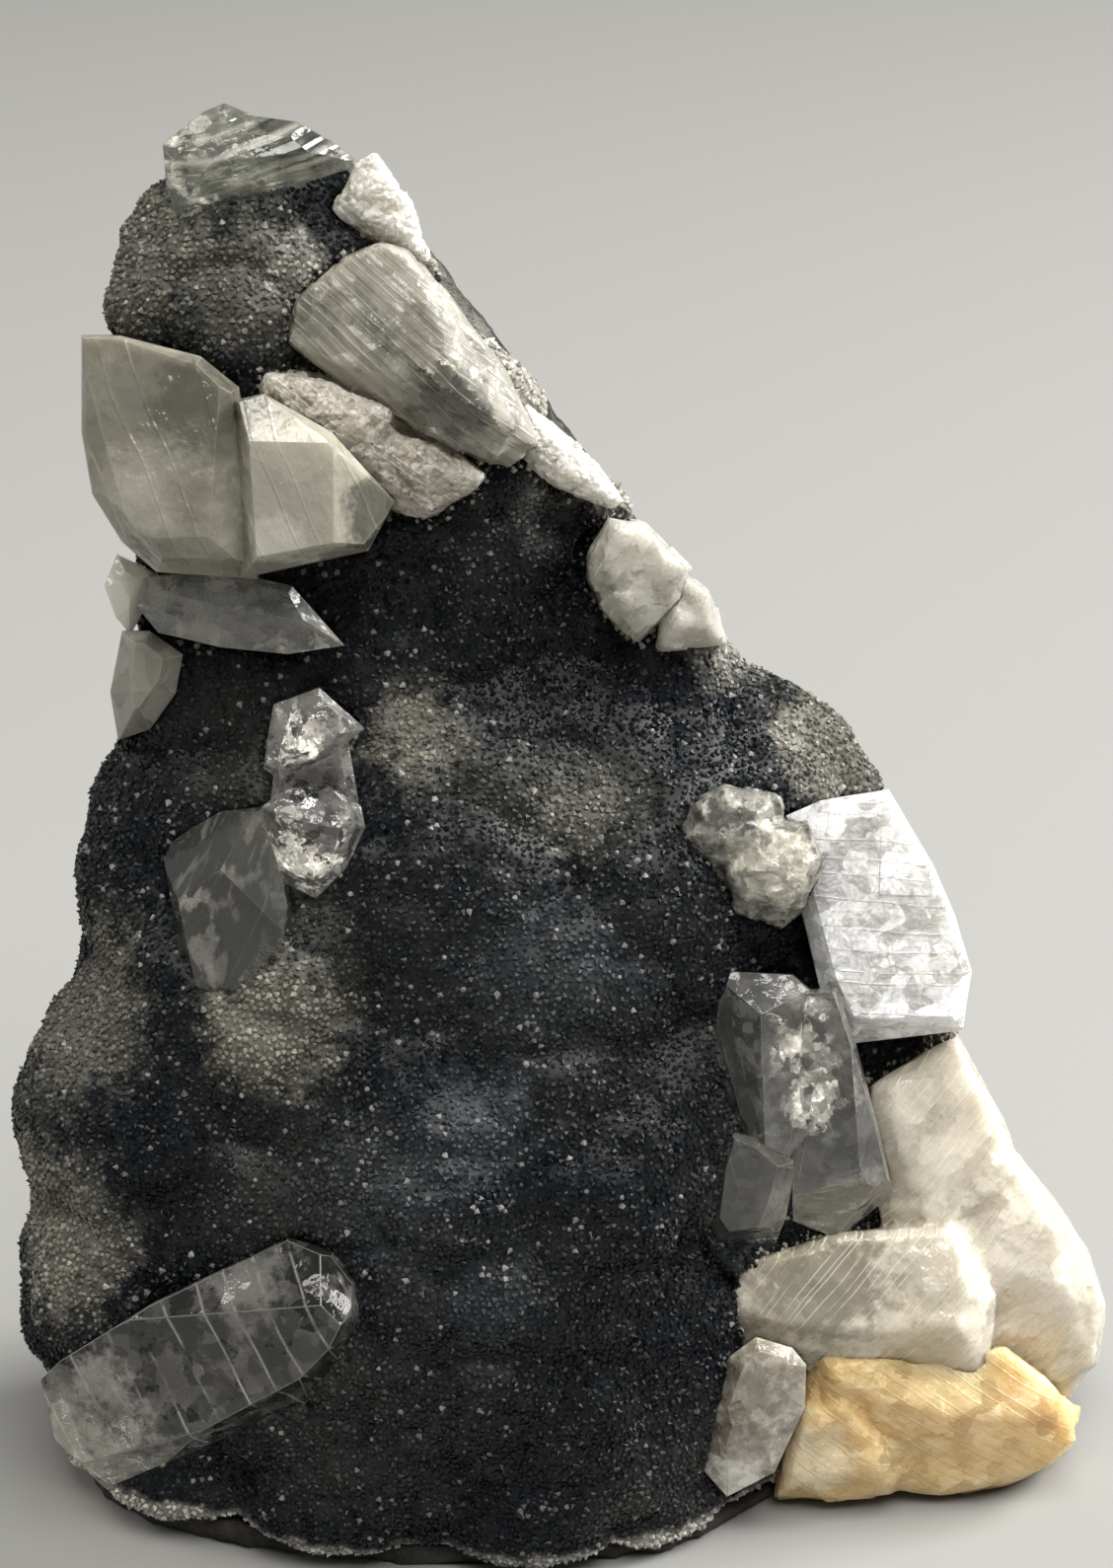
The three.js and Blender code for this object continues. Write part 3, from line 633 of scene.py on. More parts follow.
@dataclass(frozen=True)
class CrackFinish:
    """Silvery film on the cracks inside a crystal, in blots, creased like foil.

    With spots given, each a centre and a radius in millimetres, it lies only near them.
    """

    name: str
    slot: Slot
    colour: Colour = (0.93, 0.91, 0.87)
    metal: float = 0.5
    roughness: float = 0.22
    cover: tuple[float, float] = (0.5, 0.58)
    amount: float = 0.85
    fibre_rise: float = 70.0
    fibre: Triple = (1.0, 1.0, 1.0)
    crease: tuple[float, float] = (1.3, 0.8)
    spots: tuple[tuple[Triple, float], ...] = ()

    def build(self, groups: ShaderGroups) -> bpy.types.Material:
        """Makes the film's material.

        Args:
            groups: the shared shader groups.

        Returns:
            The material.
        """
        material, g, shader, _ = blank_material(self.name)
        place = g.add("ShaderNodeGroup", node_tree=groups.place)
        place.inputs["Turn"].default_value = (0.0, math.radians(self.fibre_rise - 90), 0.0)
        place.inputs["Stretch"].default_value = self.fibre
        where = place.outputs["Vector"]
        broad = g.add("ShaderNodeTexNoise", {"Vector": where, "Scale": 0.7, "Detail": 3.0, "Roughness": 0.55})
        cover = g.math("MULTIPLY", g.ramp(broad.outputs[0], *self.cover), self.amount)
        near = None
        for centre, radius in self.spots:
            spot = g.add("ShaderNodeGroup", node_tree=groups.spot)
            spot.inputs["Centre"].default_value = centre
            spot.inputs["Radius"].default_value = radius
            spot.inputs["Ragged"].default_value = radius * 0.3
            near = g.math("MAXIMUM", near, spot.outputs["Mask"]) if near else spot.outputs["Mask"]
        if near:
            cover = g.math("MULTIPLY", cover, near)
        g.tree.links.new(cover, shader.inputs["Alpha"])
        cells = g.add("ShaderNodeGroup", node_tree=groups.facets)
        g.tree.links.new(where, cells.inputs["Vector"])
        cells.inputs["Size"].default_value = self.crease[0]
        bump = g.add("ShaderNodeBump", {"Height": cells.outputs["Height"], "Distance": self.crease[1] * MM})
        g.tree.links.new(bump.outputs[0], shader.inputs["Normal"])
        shader.inputs["Base Color"].default_value = (*self.colour, 1)
        shader.inputs["Metallic"].default_value = self.metal
        shader.inputs["Roughness"].default_value = self.roughness
        return material


@dataclass(frozen=True)
class CrustFinish:
    """The chalcedony: blue-black, browner in patches, pale on its broken rims and frosted spots, with painted
    light on its lit lumps, painted shade in dark blots and painted glints on a few grains.
    """

    name: str = "chalcedony_crust"
    slot: Slot = Slot.CHALCEDONY
    dark: Colour = (0.003, 0.0042, 0.006)
    grey: Colour = (0.021, 0.024, 0.028)
    warm: Colour = (0.044, 0.043, 0.037)
    pale: Colour = (0.32, 0.31, 0.28)
    painted_glint: Colour = (0.36, 0.355, 0.335)
    roughness: float = 0.34
    shine: float = 0.2
    patches: tuple[Patch, ...] = ()
    painted_shade_blots: tuple[Patch, ...] = ()
    grains: bool = False

    def build(self, groups: ShaderGroups) -> bpy.types.Material:
        """Makes the crust's material, with the tone of each grain where the mesh stores one.

        Args:
            groups: the shared shader groups.

        Returns:
            The material.
        """
        material, g, shader, _ = blank_material(self.name)
        where = g.add("ShaderNodeGroup", node_tree=groups.place).outputs["Vector"]
        broad = g.add("ShaderNodeGroup", node_tree=groups.mottle)
        fine = g.add("ShaderNodeGroup", node_tree=groups.mottle)
        for node, values in ((broad, (14.0, 0.42, 0.66)), (fine, (0.7, 0.45, 0.75))):
            g.tree.links.new(where, node.inputs["Vector"])
            for label, value in zip(("Size", "Low", "High"), values):
                node.inputs[label].default_value = value
        colour = g.mix(g.math("MULTIPLY", fine.outputs["Mask"], 0.5), self.dark, self.grey)
        colour = g.mix(g.math("MULTIPLY", broad.outputs["Mask"], 0.35), colour, self.warm)
        for patch in self.patches:
            colour = patch.paint(g, groups, colour)
        colour = g.mix(g.math("MULTIPLY", pale_rims(g, CRUST_RIM_WIDTH), CRUST_RIM_AMOUNT), colour, self.pale)
        if self.grains:
            tone = g.add("ShaderNodeAttribute", attribute_name="tone").outputs["Fac"]
            shade = g.add("ShaderNodeMapRange", {0: tone, 1: 0.0, 2: 1.0, 3: 0.7, 4: 2.3}).outputs[0]
            colour = g.add("ShaderNodeVectorMath", {0: colour, 1: shade}, operation="MULTIPLY").outputs[0]
            # Painted glints: the few palest grains take a light grey that stands for their sparkle.
            colour = g.mix(g.math("MULTIPLY", g.ramp(tone, 0.95, 0.98), 0.55), colour, self.painted_glint)
        # Painted shade: the dark blots go on last, over the grains' tones and glints.
        for patch in self.painted_shade_blots:
            colour = patch.paint(g, groups, colour)
        bump = g.add(
            "ShaderNodeBump", {"Height": fine.outputs["Height"], "Strength": 0.8, "Distance": 0.12 * MM}
        )
        g.tree.links.new(colour, shader.inputs["Base Color"])
        g.tree.links.new(bump.outputs[0], shader.inputs["Normal"])
        rough = g.math("MULTIPLY_ADD", fine.outputs["Mask"], 0.25, self.roughness)
        g.tree.links.new(rough, shader.inputs["Roughness"])
        shader.inputs["IOR"].default_value = CRYSTAL_IOR
        shader.inputs["Specular IOR Level"].default_value = self.shine
        return material


@dataclass(frozen=True)
class BasaltFinish:
    """Broken basalt: brown-black, rough, with a few pale specks and a pale line along its upper front."""

    name: str = "broken_basalt"
    slot: Slot = Slot.BASALT
    pale: Colour = (0.5, 0.49, 0.45)

    def build(self, groups: ShaderGroups) -> bpy.types.Material:
        """Makes the basalt's material.

        Args:
            groups: the shared shader groups.

        Returns:
            The material.
        """
        material, g, shader, _ = blank_material(self.name)
        where = g.add("ShaderNodeGroup", node_tree=groups.place).outputs["Vector"]
        layers = []
        for values in ((9.0, 0.4, 0.65), (1.2, 0.45, 0.7), (0.5, 0.66, 0.72)):
            node = g.add("ShaderNodeGroup", node_tree=groups.mottle)
            g.tree.links.new(where, node.inputs["Vector"])
            for label, value in zip(("Size", "Low", "High"), values):
                node.inputs[label].default_value = value
            layers.append(node.outputs)
        colour = g.mix(layers[0]["Mask"], (0.022, 0.02, 0.018), (0.05, 0.043, 0.035))
        colour = g.mix(g.math("MULTIPLY", layers[1]["Mask"], 0.6), colour, (0.075, 0.068, 0.06))
        colour = g.mix(g.math("MULTIPLY", layers[2]["Mask"], 0.6), colour, (0.25, 0.23, 0.2))
        _, y, z = g.add("ShaderNodeSeparateXYZ", {0: where}).outputs
        front = g.math("MULTIPLY", g.ramp(y, *FRONT_STRIP), g.ramp(z, *UPPER_EDGE))
        colour = g.mix(g.math("MULTIPLY", front, 0.85), colour, self.pale)
        height = g.math("MULTIPLY_ADD", layers[0]["Height"], 2.0, layers[1]["Height"])
        bump = g.add("ShaderNodeBump", {"Height": height, "Strength": 1.0, "Distance": 1.0 * MM})
        g.tree.links.new(colour, shader.inputs["Base Color"])
        g.tree.links.new(bump.outputs[0], shader.inputs["Normal"])
        shader.inputs["Roughness"].default_value = 0.86
        return material


def only(obj: bpy.types.Object) -> None:
    """Selects one object and makes it active.

    Args:
        obj: the object.
    """
    bpy.ops.object.select_all(action="DESELECT")
    obj.select_set(True)
    bpy.context.view_layer.objects.active = obj


def apply_modifier(obj: bpy.types.Object, kind: str, **settings: object) -> None:
    """Adds a modifier and applies it.

    Args:
        obj: the object that it changes.
        kind: the modifier's type.
        settings: attributes to set on the modifier.
    """
    only(obj)
    modifier = obj.modifiers.new(kind.lower(), kind)
    for key, value in settings.items():
        setattr(modifier, key, value)
    bpy.ops.object.modifier_apply(modifier=modifier.name)


def copy_of(node: str, name: str) -> bpy.types.Object:
    """Copies a CAD node.

    Args:
        node: the node's name.
        name: the copy's name.

    Returns:
        The copy, merged and on its own.
    """
    source = frame["nodes"][node]
    source.hide_viewport = False
    only(source)
    bpy.ops.object.duplicate()
    made = bpy.context.view_layer.objects.active
    made.name = name
    made.parent = None
    made.matrix_world = Matrix.Identity(4)
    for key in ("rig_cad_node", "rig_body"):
        if key in made:
            del made[key]
    bpy.ops.object.mode_set(mode="EDIT")
    bpy.ops.mesh.select_all(action="SELECT")
    bpy.ops.mesh.remove_doubles(threshold=0.00001)
    bpy.ops.object.mode_set(mode="OBJECT")
    made.data.materials.clear()
    return made


def settle(obj: bpy.types.Object, material: bpy.types.Material) -> bpy.types.Object:
    """Gives a finished piece its material, and lets it ride on the specimen.

    Args:
        obj: the piece.
        material: its material.

    Returns:
        The piece.
    """
    obj.data.materials.clear()
    obj.data.materials.append(material)
    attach(obj, BODY)
    return obj


def in_edit_mode(obj: bpy.types.Object, *steps: Callable[[], object]) -> None:
    """Runs steps on all of an object in edit mode.

    Args:
        obj: the object.
        steps: functions to call in turn.
    """
    only(obj)
    bpy.ops.object.mode_set(mode="EDIT")
    bpy.ops.mesh.select_all(action="SELECT")
    for step in steps:
        step()
    bpy.ops.object.mode_set(mode="OBJECT")


def outwards() -> None:
    """Turns the selected faces outwards."""
    bpy.ops.mesh.normals_make_consistent(inside=False)


class LumpKind(Enum):
    """Kinds of lumps that a surface can be given."""

    SOFT = "soft"
    BUBBLES = "bubbles"
    BLOCKS = "blocks"


@dataclass(frozen=True)
class Lumps:
    """Lumps over a surface: sizes in millimetres, drawn out along a line that rises to the right."""

    kind: LumpKind
    size: float
    height: float
    middle: float = 0.5
    drawn_out: float = 1.0
    rise: float = 0.0

    def raise_on(self, obj: bpy.types.Object) -> None:
        """Raises the lumps on a surface.

        Args:
            obj: the object that has it.
        """
        kind = "CLOUDS" if self.kind is LumpKind.SOFT else "VORONOI"
        pattern = bpy.data.textures.new("lumps", kind)
        pattern.noise_scale = self.size * MM
        if self.kind is LumpKind.SOFT:
            pattern.noise_depth = 2
        elif self.kind is LumpKind.BUBBLES:
            pattern.distance_metric = "DISTANCE_SQUARED"
        else:
            pattern.distance_metric = "MANHATTAN"
            pattern.color_mode = "POSITION"
        bpy.ops.object.select_all(action="DESELECT")
        bpy.ops.object.empty_add(rotation=(0.0, -math.radians(self.rise), 0.0))
        guide = bpy.context.view_layer.objects.active
        guide.scale = (self.drawn_out, 1.0, 1.0)
        bpy.context.view_layer.update()
        apply_modifier(
            obj, "DISPLACE", texture=pattern, texture_coords="OBJECT", texture_coords_object=guide,
            strength=self.height * MM, mid_level=self.middle,
        )
        bpy.data.objects.remove(guide)


@dataclass(frozen=True)
class Break:
    """A broken surface: the size of its even mesh in millimetres, how often it is smoothed, its lumps."""

    lumps: tuple[Lumps, ...]
    voxel: float = 0.4
    smoothing: int = 2

    def apply(self, obj: bpy.types.Object) -> None:
        """Breaks a surface.

        Args:
            obj: the object that has it.
        """
        apply_modifier(obj, "REMESH", mode="VOXEL", voxel_size=self.voxel * MM, use_smooth_shade=True)
        if self.smoothing:
            apply_modifier(obj, "SMOOTH", factor=0.5, iterations=self.smoothing)
        for lumps in self.lumps:
            lumps.raise_on(obj)
        only(obj)
        bpy.ops.object.shade_smooth_by_angle(angle=SMOOTH_BELOW)


@dataclass
class Cracks:
    """Cracks inside one crystal, side by side, each a thin wavy sheet that stops short of the faces."""

    finish: CrackFinish
    count: int = 3
    facing: Triple = (0.0, -1.0, 0.0)
    spread: float = 0.35
    reach: tuple[float, float] = (0.15, 0.85)
    inset: float = 0.25
    thick: float = 0.05
    seed: int = 1
    cuts: int = 14
    wave_size: float = 3.5
    wave_height: float = 1.2

    def build(self, groups: ShaderGroups, crystal: bpy.types.Object, name: str) -> bpy.types.Object:
        """Builds the cracks of a crystal.

        Args:
            groups: the shared shader groups.
            crystal: the finished crystal.
            name: the name of the new piece.

        Returns:
            One mesh with every crack.
        """
        rng = random.Random(self.seed)
        corners = [v.co for v in crystal.data.vertices]
        facing = Vector(self.facing).normalized()
        middle = sum(corners, Vector()) / len(corners)
        along = sorted((c - middle).dot(facing) for c in corners)
        width = max((c - middle).length for c in corners) * 2.4
        bpy.ops.object.select_all(action="DESELECT")
        sheets = []
        for i in range(self.count):
            share = self.reach[0] + (self.reach[1] - self.reach[0]) * (i + 0.5) / self.count
            at = middle + facing * (along[0] + (along[-1] - along[0]) * share)
            way = facing + Vector([rng.uniform(-1, 1) * self.spread for _ in range(3)])
            bpy.ops.mesh.primitive_plane_add(
                size=width, location=at, rotation=way.to_track_quat("Z", "Y").to_euler()
            )
            sheet = bpy.context.view_layer.objects.active
            bpy.ops.object.transform_apply()
            in_edit_mode(sheet, lambda: bpy.ops.mesh.subdivide(number_cuts=self.cuts))
            wave = bpy.data.textures.new("crack_wave", "CLOUDS")
            wave.noise_scale = self.wave_size * MM
            apply_modifier(
                sheet, "DISPLACE", texture=wave, texture_coords="LOCAL", strength=self.wave_height * MM
            )
            apply_modifier(sheet, "SOLIDIFY", thickness=self.thick * MM, offset=0.0)
            sheets.append(sheet)
        bpy.ops.object.select_all(action="DESELECT")
        for sheet in sheets:
            sheet.select_set(True)
        bpy.context.view_layer.objects.active = sheets[0]
        if len(sheets) > 1:
            bpy.ops.object.join()
        cracks = bpy.context.view_layer.objects.active
        cracks.name = name
        only(crystal)
        bpy.ops.object.duplicate()
        inner = bpy.context.view_layer.objects.active
        apply_modifier(inner, "DISPLACE", strength=-self.inset * MM, mid_level=0.0)
        apply_modifier(cracks, "BOOLEAN", object=inner, operation="INTERSECT", solver="EXACT", use_self=True)
        bpy.data.objects.remove(inner)
        in_edit_mode(cracks, outwards)
        only(cracks)
        bpy.ops.object.shade_smooth()
        return settle(cracks, self.finish.build(groups))


@dataclass
class Crystal:
    """One crystal: its CAD node grown up to its neighbours, with pale bevelled edges, partly wear and partly
    painted highlight, or a broken surface.
    """

    node: str
    finish: CrystalFinish
    cracks: Cracks | None = None
    broken: Break | None = None
    edge: float = 0.12
    growth: float = 0.2

    def _bevel_pale_edges(self, piece: bpy.types.Object) -> list[int]:
        """Bevels the edges, whose faces take the pale edge material: partly wear, partly a painted highlight.

        Args:
            piece: the crystal.

        Returns:
            The material index of each face.
        """
        piece.data.materials.append(None)
        piece.data.materials.append(None)
        apply_modifier(
            piece, "BEVEL", width=self.edge * MM, segments=1, limit_method="ANGLE",
            angle_limit=EDGE_ABOVE, use_clamp_overlap=True, material=1 if self.finish.edge else 0,
        )
        in_edit_mode(piece, outwards)
        only(piece)
        bpy.ops.object.shade_flat()
        return [face.material_index for face in piece.data.polygons]

    def build(self, groups: ShaderGroups) -> bpy.types.Object:
        """Builds and dresses the crystal and the cracks inside it.

        Args:
            groups: the shared shader groups.

        Returns:
            The crystal.
        """
        name = self.node.title()
        piece = copy_of(self.node, name)
        apply_modifier(piece, "DISPLACE", strength=self.growth * MM, mid_level=0.0)
        edge_slots = []
        if self.broken:
            self.broken.apply(piece)
        else:
            in_edit_mode(piece, lambda: bpy.ops.mesh.dissolve_limited(angle_limit=FLAT_BELOW))
            edge_slots = self._bevel_pale_edges(piece)
        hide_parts(self.node)
        settle(piece, self.finish.build(groups))
        if edge_slots and self.finish.edge:
            piece.data.materials.append(self.finish.build_edge())
            for face, index in zip(piece.data.polygons, edge_slots):
                face.material_index = index
        if self.cracks:
            self.cracks.build(groups, piece, name + "_Cracks")
        log.info("%s: %d faces", name, len(piece.data.polygons))
        return piece


@dataclass
class Crust:
    """The chalcedony crust: the CAD crust on a fine even mesh, with bubbles over it."""

    finish: CrustFinish
    voxel: float = 0.6
    closing: float = 0.25
    lumps: tuple[Lumps, ...] = (
        Lumps(LumpKind.BUBBLES, 10.0, -3.4, 0.3),
        Lumps(LumpKind.BUBBLES, 4.4, -1.1, 0.3),
        Lumps(LumpKind.SOFT, 1.4, 0.35),
    )

    def build(self, groups: ShaderGroups) -> bpy.types.Object:
        """Builds and dresses the crust.

        Args:
            groups: the shared shader groups.

        Returns:
            The crust.
        """
        piece = copy_of("chalcedony_crust", "Chalcedony_Crust")
        apply_modifier(piece, "REMESH", mode="VOXEL", voxel_size=self.voxel * MM, use_smooth_shade=True)
        apply_modifier(piece, "SMOOTH", factor=0.5, iterations=4)
        apply_modifier(piece, "DISPLACE", strength=self.closing * MM, mid_level=0.0)
        for lumps in self.lumps:
            lumps.raise_on(piece)
        only(piece)
        bpy.ops.object.shade_smooth()
        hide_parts("chalcedony_crust")
        settle(piece, self.finish.build(groups))
        log.info("Chalcedony_Crust: %d faces", len(piece.data.polygons))
        return piece


@dataclass
class Druse:
    """Grains over the crust's outside: stubby six-sided points, in a few joined meshes.

    With near given, they stand only within a distance of those crystals, as a sugary fringe.
    """

    finish: CrustFinish | CrystalFinish
    name: str = "Druse"
    near: tuple[str, ...] = ()
    within: float = 0.9
    spacing: float = 0.43
    width: tuple[float, float] = (0.42, 0.7)
    height: tuple[float, float] = (0.7, 1.4)
    lean: float = 70.0
    clear: float = 0.1
    rock_clear: float = 0.6
    crowd: float = 2.4e7
    layers: tuple[tuple[float, float, int], ...] = ((-10.0, 32.0, 3), (32.0, 62.0, 5), (62.0, 130.0, 7))

    def _grain(self) -> bpy.types.Object:
        """Models a stubby six-sided point one millimetre wide, pointed below too.

        Returns:
            The grain.
        """
        bpy.ops.object.select_all(action="DESELECT")
        bpy.ops.mesh.primitive_cone_add(
            vertices=6, radius1=0.5 * MM, depth=0.6 * MM, end_fill_type="TRIFAN", location=(0, 0, 0.3 * MM)
        )
        grain = bpy.context.view_layer.objects.active
        grain.name = "grain"
        bpy.ops.object.transform_apply()
        in_edit_mode(grain, lambda: bpy.ops.mesh.select_all(action="DESELECT"))
        for vertex in grain.data.vertices:
            vertex.select = vertex.co.z < 0.1 * MM and vertex.co.to_2d().length < 0.1 * MM
        bpy.ops.object.mode_set(mode="EDIT")
        bpy.ops.mesh.select_mode(type="VERT")
        bpy.ops.transform.translate(value=(0, 0, -0.4 * MM))
        bpy.ops.object.mode_set(mode="OBJECT")
        return grain

    def _scatter(
        self, grain: bpy.types.Object, limits: list[tuple[bpy.types.Object, float, str]], low: float,
        high: float, seed: int,
    ) -> bpy.types.NodeTree:
        """Makes the geometry nodes that set grains on the faces between two heights.

        Args:
            grain: the model of a grain.
            limits: objects, each with a distance in millimetres and the test that drops a grain.
            low: the lower height, in millimetres.
            high: the upper height, in millimetres.
            seed: the seed of every chance in it.

        Returns:
            The node tree.
        """
        tree = bpy.data.node_groups.new(f"druse_{seed}", "GeometryNodeTree")
        tree.interface.new_socket("Geometry", in_out="INPUT", socket_type="NodeSocketGeometry")
        tree.interface.new_socket("Geometry", in_out="OUTPUT", socket_type="NodeSocketGeometry")
        g = Graph(tree)
        start, end = g.add("NodeGroupInput"), g.add("NodeGroupOutput")
        points = g.add(
            "GeometryNodeDistributePointsOnFaces",
            {
                "Mesh": start.outputs[0], "Distance Min": self.spacing * MM,
                "Density Max": self.crowd, "Seed": seed,
            },
            distribute_method="POISSON",
        )
        here = g.add("GeometryNodeInputPosition").outputs[0]
        level = g.add("ShaderNodeSeparateXYZ", {0: here}).outputs[2]
        tests = [("LESS_THAN", level, low * MM), ("GREATER_EQUAL", level, high * MM)]
        for other, distance, test in limits:
            near = g.add("GeometryNodeProximity", target_element="FACES")
            others = g.add("GeometryNodeObjectInfo", {"Object": other}, transform_space="RELATIVE")
            tree.links.new(others.outputs["Geometry"], near.inputs[0])
            tests.append((test, near.outputs["Distance"], distance * MM))
        outside = None
        for operation, value, limit in tests:
            test = g.add("FunctionNodeCompare", {0: value, 1: limit}, data_type="FLOAT", operation=operation)
            if outside is None:
                outside = test.outputs[0]
            else:
                either = g.add("FunctionNodeBooleanMath", {0: outside, 1: test.outputs[0]}, operation="OR")
                outside = either.outputs[0]
        kept = g.add(
            "GeometryNodeDeleteGeometry", {"Geometry": points.outputs["Points"], "Selection": outside},
            domain="POINT",
        )
        size = self._chance(g, seed + 11, *self.width)
        tall = g.math("MULTIPLY", size, self._chance(g, seed + 23, *self.height))
        lean = math.radians(self.lean)
        tip = g.add("FunctionNodeRandomValue", {"Seed": seed + 37}, data_type="FLOAT_VECTOR")
        tip.inputs[0].default_value, tip.inputs[1].default_value = (-lean, -lean, -3.1), (lean, lean, 3.1)
        turned = g.add(
            "FunctionNodeRotateRotation", {0: points.outputs["Rotation"], 1: tip.outputs[0]},
            rotation_space="LOCAL",
        )
        shape = g.add("ShaderNodeCombineXYZ", {0: size, 1: size, 2: tall})
        model = g.add("GeometryNodeObjectInfo", {"Object": grain})
        grains = g.add(
            "GeometryNodeInstanceOnPoints",
            {
                "Points": kept.outputs[0], "Instance": model.outputs["Geometry"],
                "Rotation": turned.outputs[0], "Scale": shape.outputs[0],
            },
        )
        toned = g.add(
            "GeometryNodeStoreNamedAttribute", {"Geometry": grains.outputs[0], "Name": "tone"},
            data_type="FLOAT", domain="INSTANCE",
        )
        tree.links.new(self._chance(g, seed + 41, 0.0, 1.0), toned.inputs["Value"])
        real = g.add("GeometryNodeRealizeInstances", {"Geometry": toned.outputs[0]})
        tree.links.new(real.outputs[0], end.inputs[0])
        return tree

    @staticmethod
    def _chance(g: Graph, seed: int, low: float, high: float) -> bpy.types.NodeSocket:
        """Adds a number by chance.

        Args:
            g: the graph of the scatter.
            seed: its seed.
            low: the lowest it can be.
            high: the highest it can be.

        Returns:
            The number.
        """
        node = g.add("FunctionNodeRandomValue", {"Seed": seed}, data_type="FLOAT")
        node.inputs[2].default_value, node.inputs[3].default_value = low, high
        return node.outputs[1]

    def build(
        self, groups: ShaderGroups, crust: bpy.types.Object, rock: bpy.types.Object,
        crystals: list[bpy.types.Object],
    ) -> None:
        """Sets the grains on the crust.

        Args:
            groups: the shared shader groups.
            crust: the finished crust.
            rock: the finished basalt, which grains keep well clear of.
            crystals: the crystals, which grains come close to.
        """
        material = self.finish.build(groups)
        grain = self._grain()
        barrier = self._joined(crystals)
        limits = [(barrier, self.clear, "LESS_THAN"), (rock, self.rock_clear, "LESS_THAN")]
        if self.near:
            hosts = self._joined([c for c in crystals if c.name.lower() in self.near])
            limits.append((hosts, self.within, "GREATER_THAN"))
        for low, high, seed in self.layers:
            only(crust)
            bpy.ops.object.duplicate()
            coat = bpy.context.view_layer.objects.active
            coat.name = f"{self.name}_{seed}"
            for key in list(coat.keys()):
                if key.startswith("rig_"):
                    del coat[key]
            coat.parent = None
            coat.matrix_world = Matrix.Identity(4)
            apply_modifier(coat, "NODES", node_group=self._scatter(grain, limits, low, high, seed))
            only(coat)
            bpy.ops.object.shade_flat()
            settle(coat, material)
            log.info("%s: %d faces", coat.name, len(coat.data.polygons))
        for spare in (grain, *(limit[0] for limit in limits if limit[0] is not rock)):
            bpy.data.objects.remove(spare)

    @staticmethod
    def _joined(pieces: list[bpy.types.Object]) -> bpy.types.Object:
        """Joins copies of some pieces.

        Args:
            pieces: the pieces.

        Returns:
            One copy of them all.
        """
        bpy.ops.object.select_all(action="DESELECT")
        for piece in pieces:
            piece.select_set(True)
        bpy.context.view_layer.objects.active = pieces[0]
        bpy.ops.object.duplicate()
        if len(pieces) > 1:
            bpy.ops.object.join()
        return bpy.context.view_layer.objects.active


@dataclass
class Basalt:
    """The basalt: the CAD wedge on a fine even mesh, broken and pitted, with its foot kept flat."""

    finish: BasaltFinish = BasaltFinish()
    broken: Break = Break(
        (
            Lumps(LumpKind.BLOCKS, 9.0, 0.4, 0.5),
            Lumps(LumpKind.SOFT, 4.0, 0.5, 0.5),
            Lumps(LumpKind.SOFT, 1.2, 0.3, 0.5),
        ),
        voxel=0.8,
        smoothing=1,
    )

    def build(self, groups: ShaderGroups) -> bpy.types.Object:
        """Builds and dresses the basalt.

        Args:
            groups: the shared shader groups.

        Returns:
            The basalt.
        """
        piece = copy_of("basalt_matrix", "Basalt_Matrix")
        self.broken.apply(piece)
        cut = {"plane_co": (0, 0, 0.0), "plane_no": (0, 0, -1), "clear_outer": True, "use_fill": True}
        in_edit_mode(piece, lambda: bpy.ops.mesh.bisect(**cut))
        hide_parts("basalt_matrix")
        settle(piece, self.finish.build(groups))
        log.info("Basalt_Matrix: %d faces", len(piece.data.polygons))
        return piece


@dataclass(frozen=True)
class Lamp:
    """A square area light: its place and width in metres, its power in watts and its colour."""

    name: str
    at: Triple
    size: float
    power: float
    colour: Colour


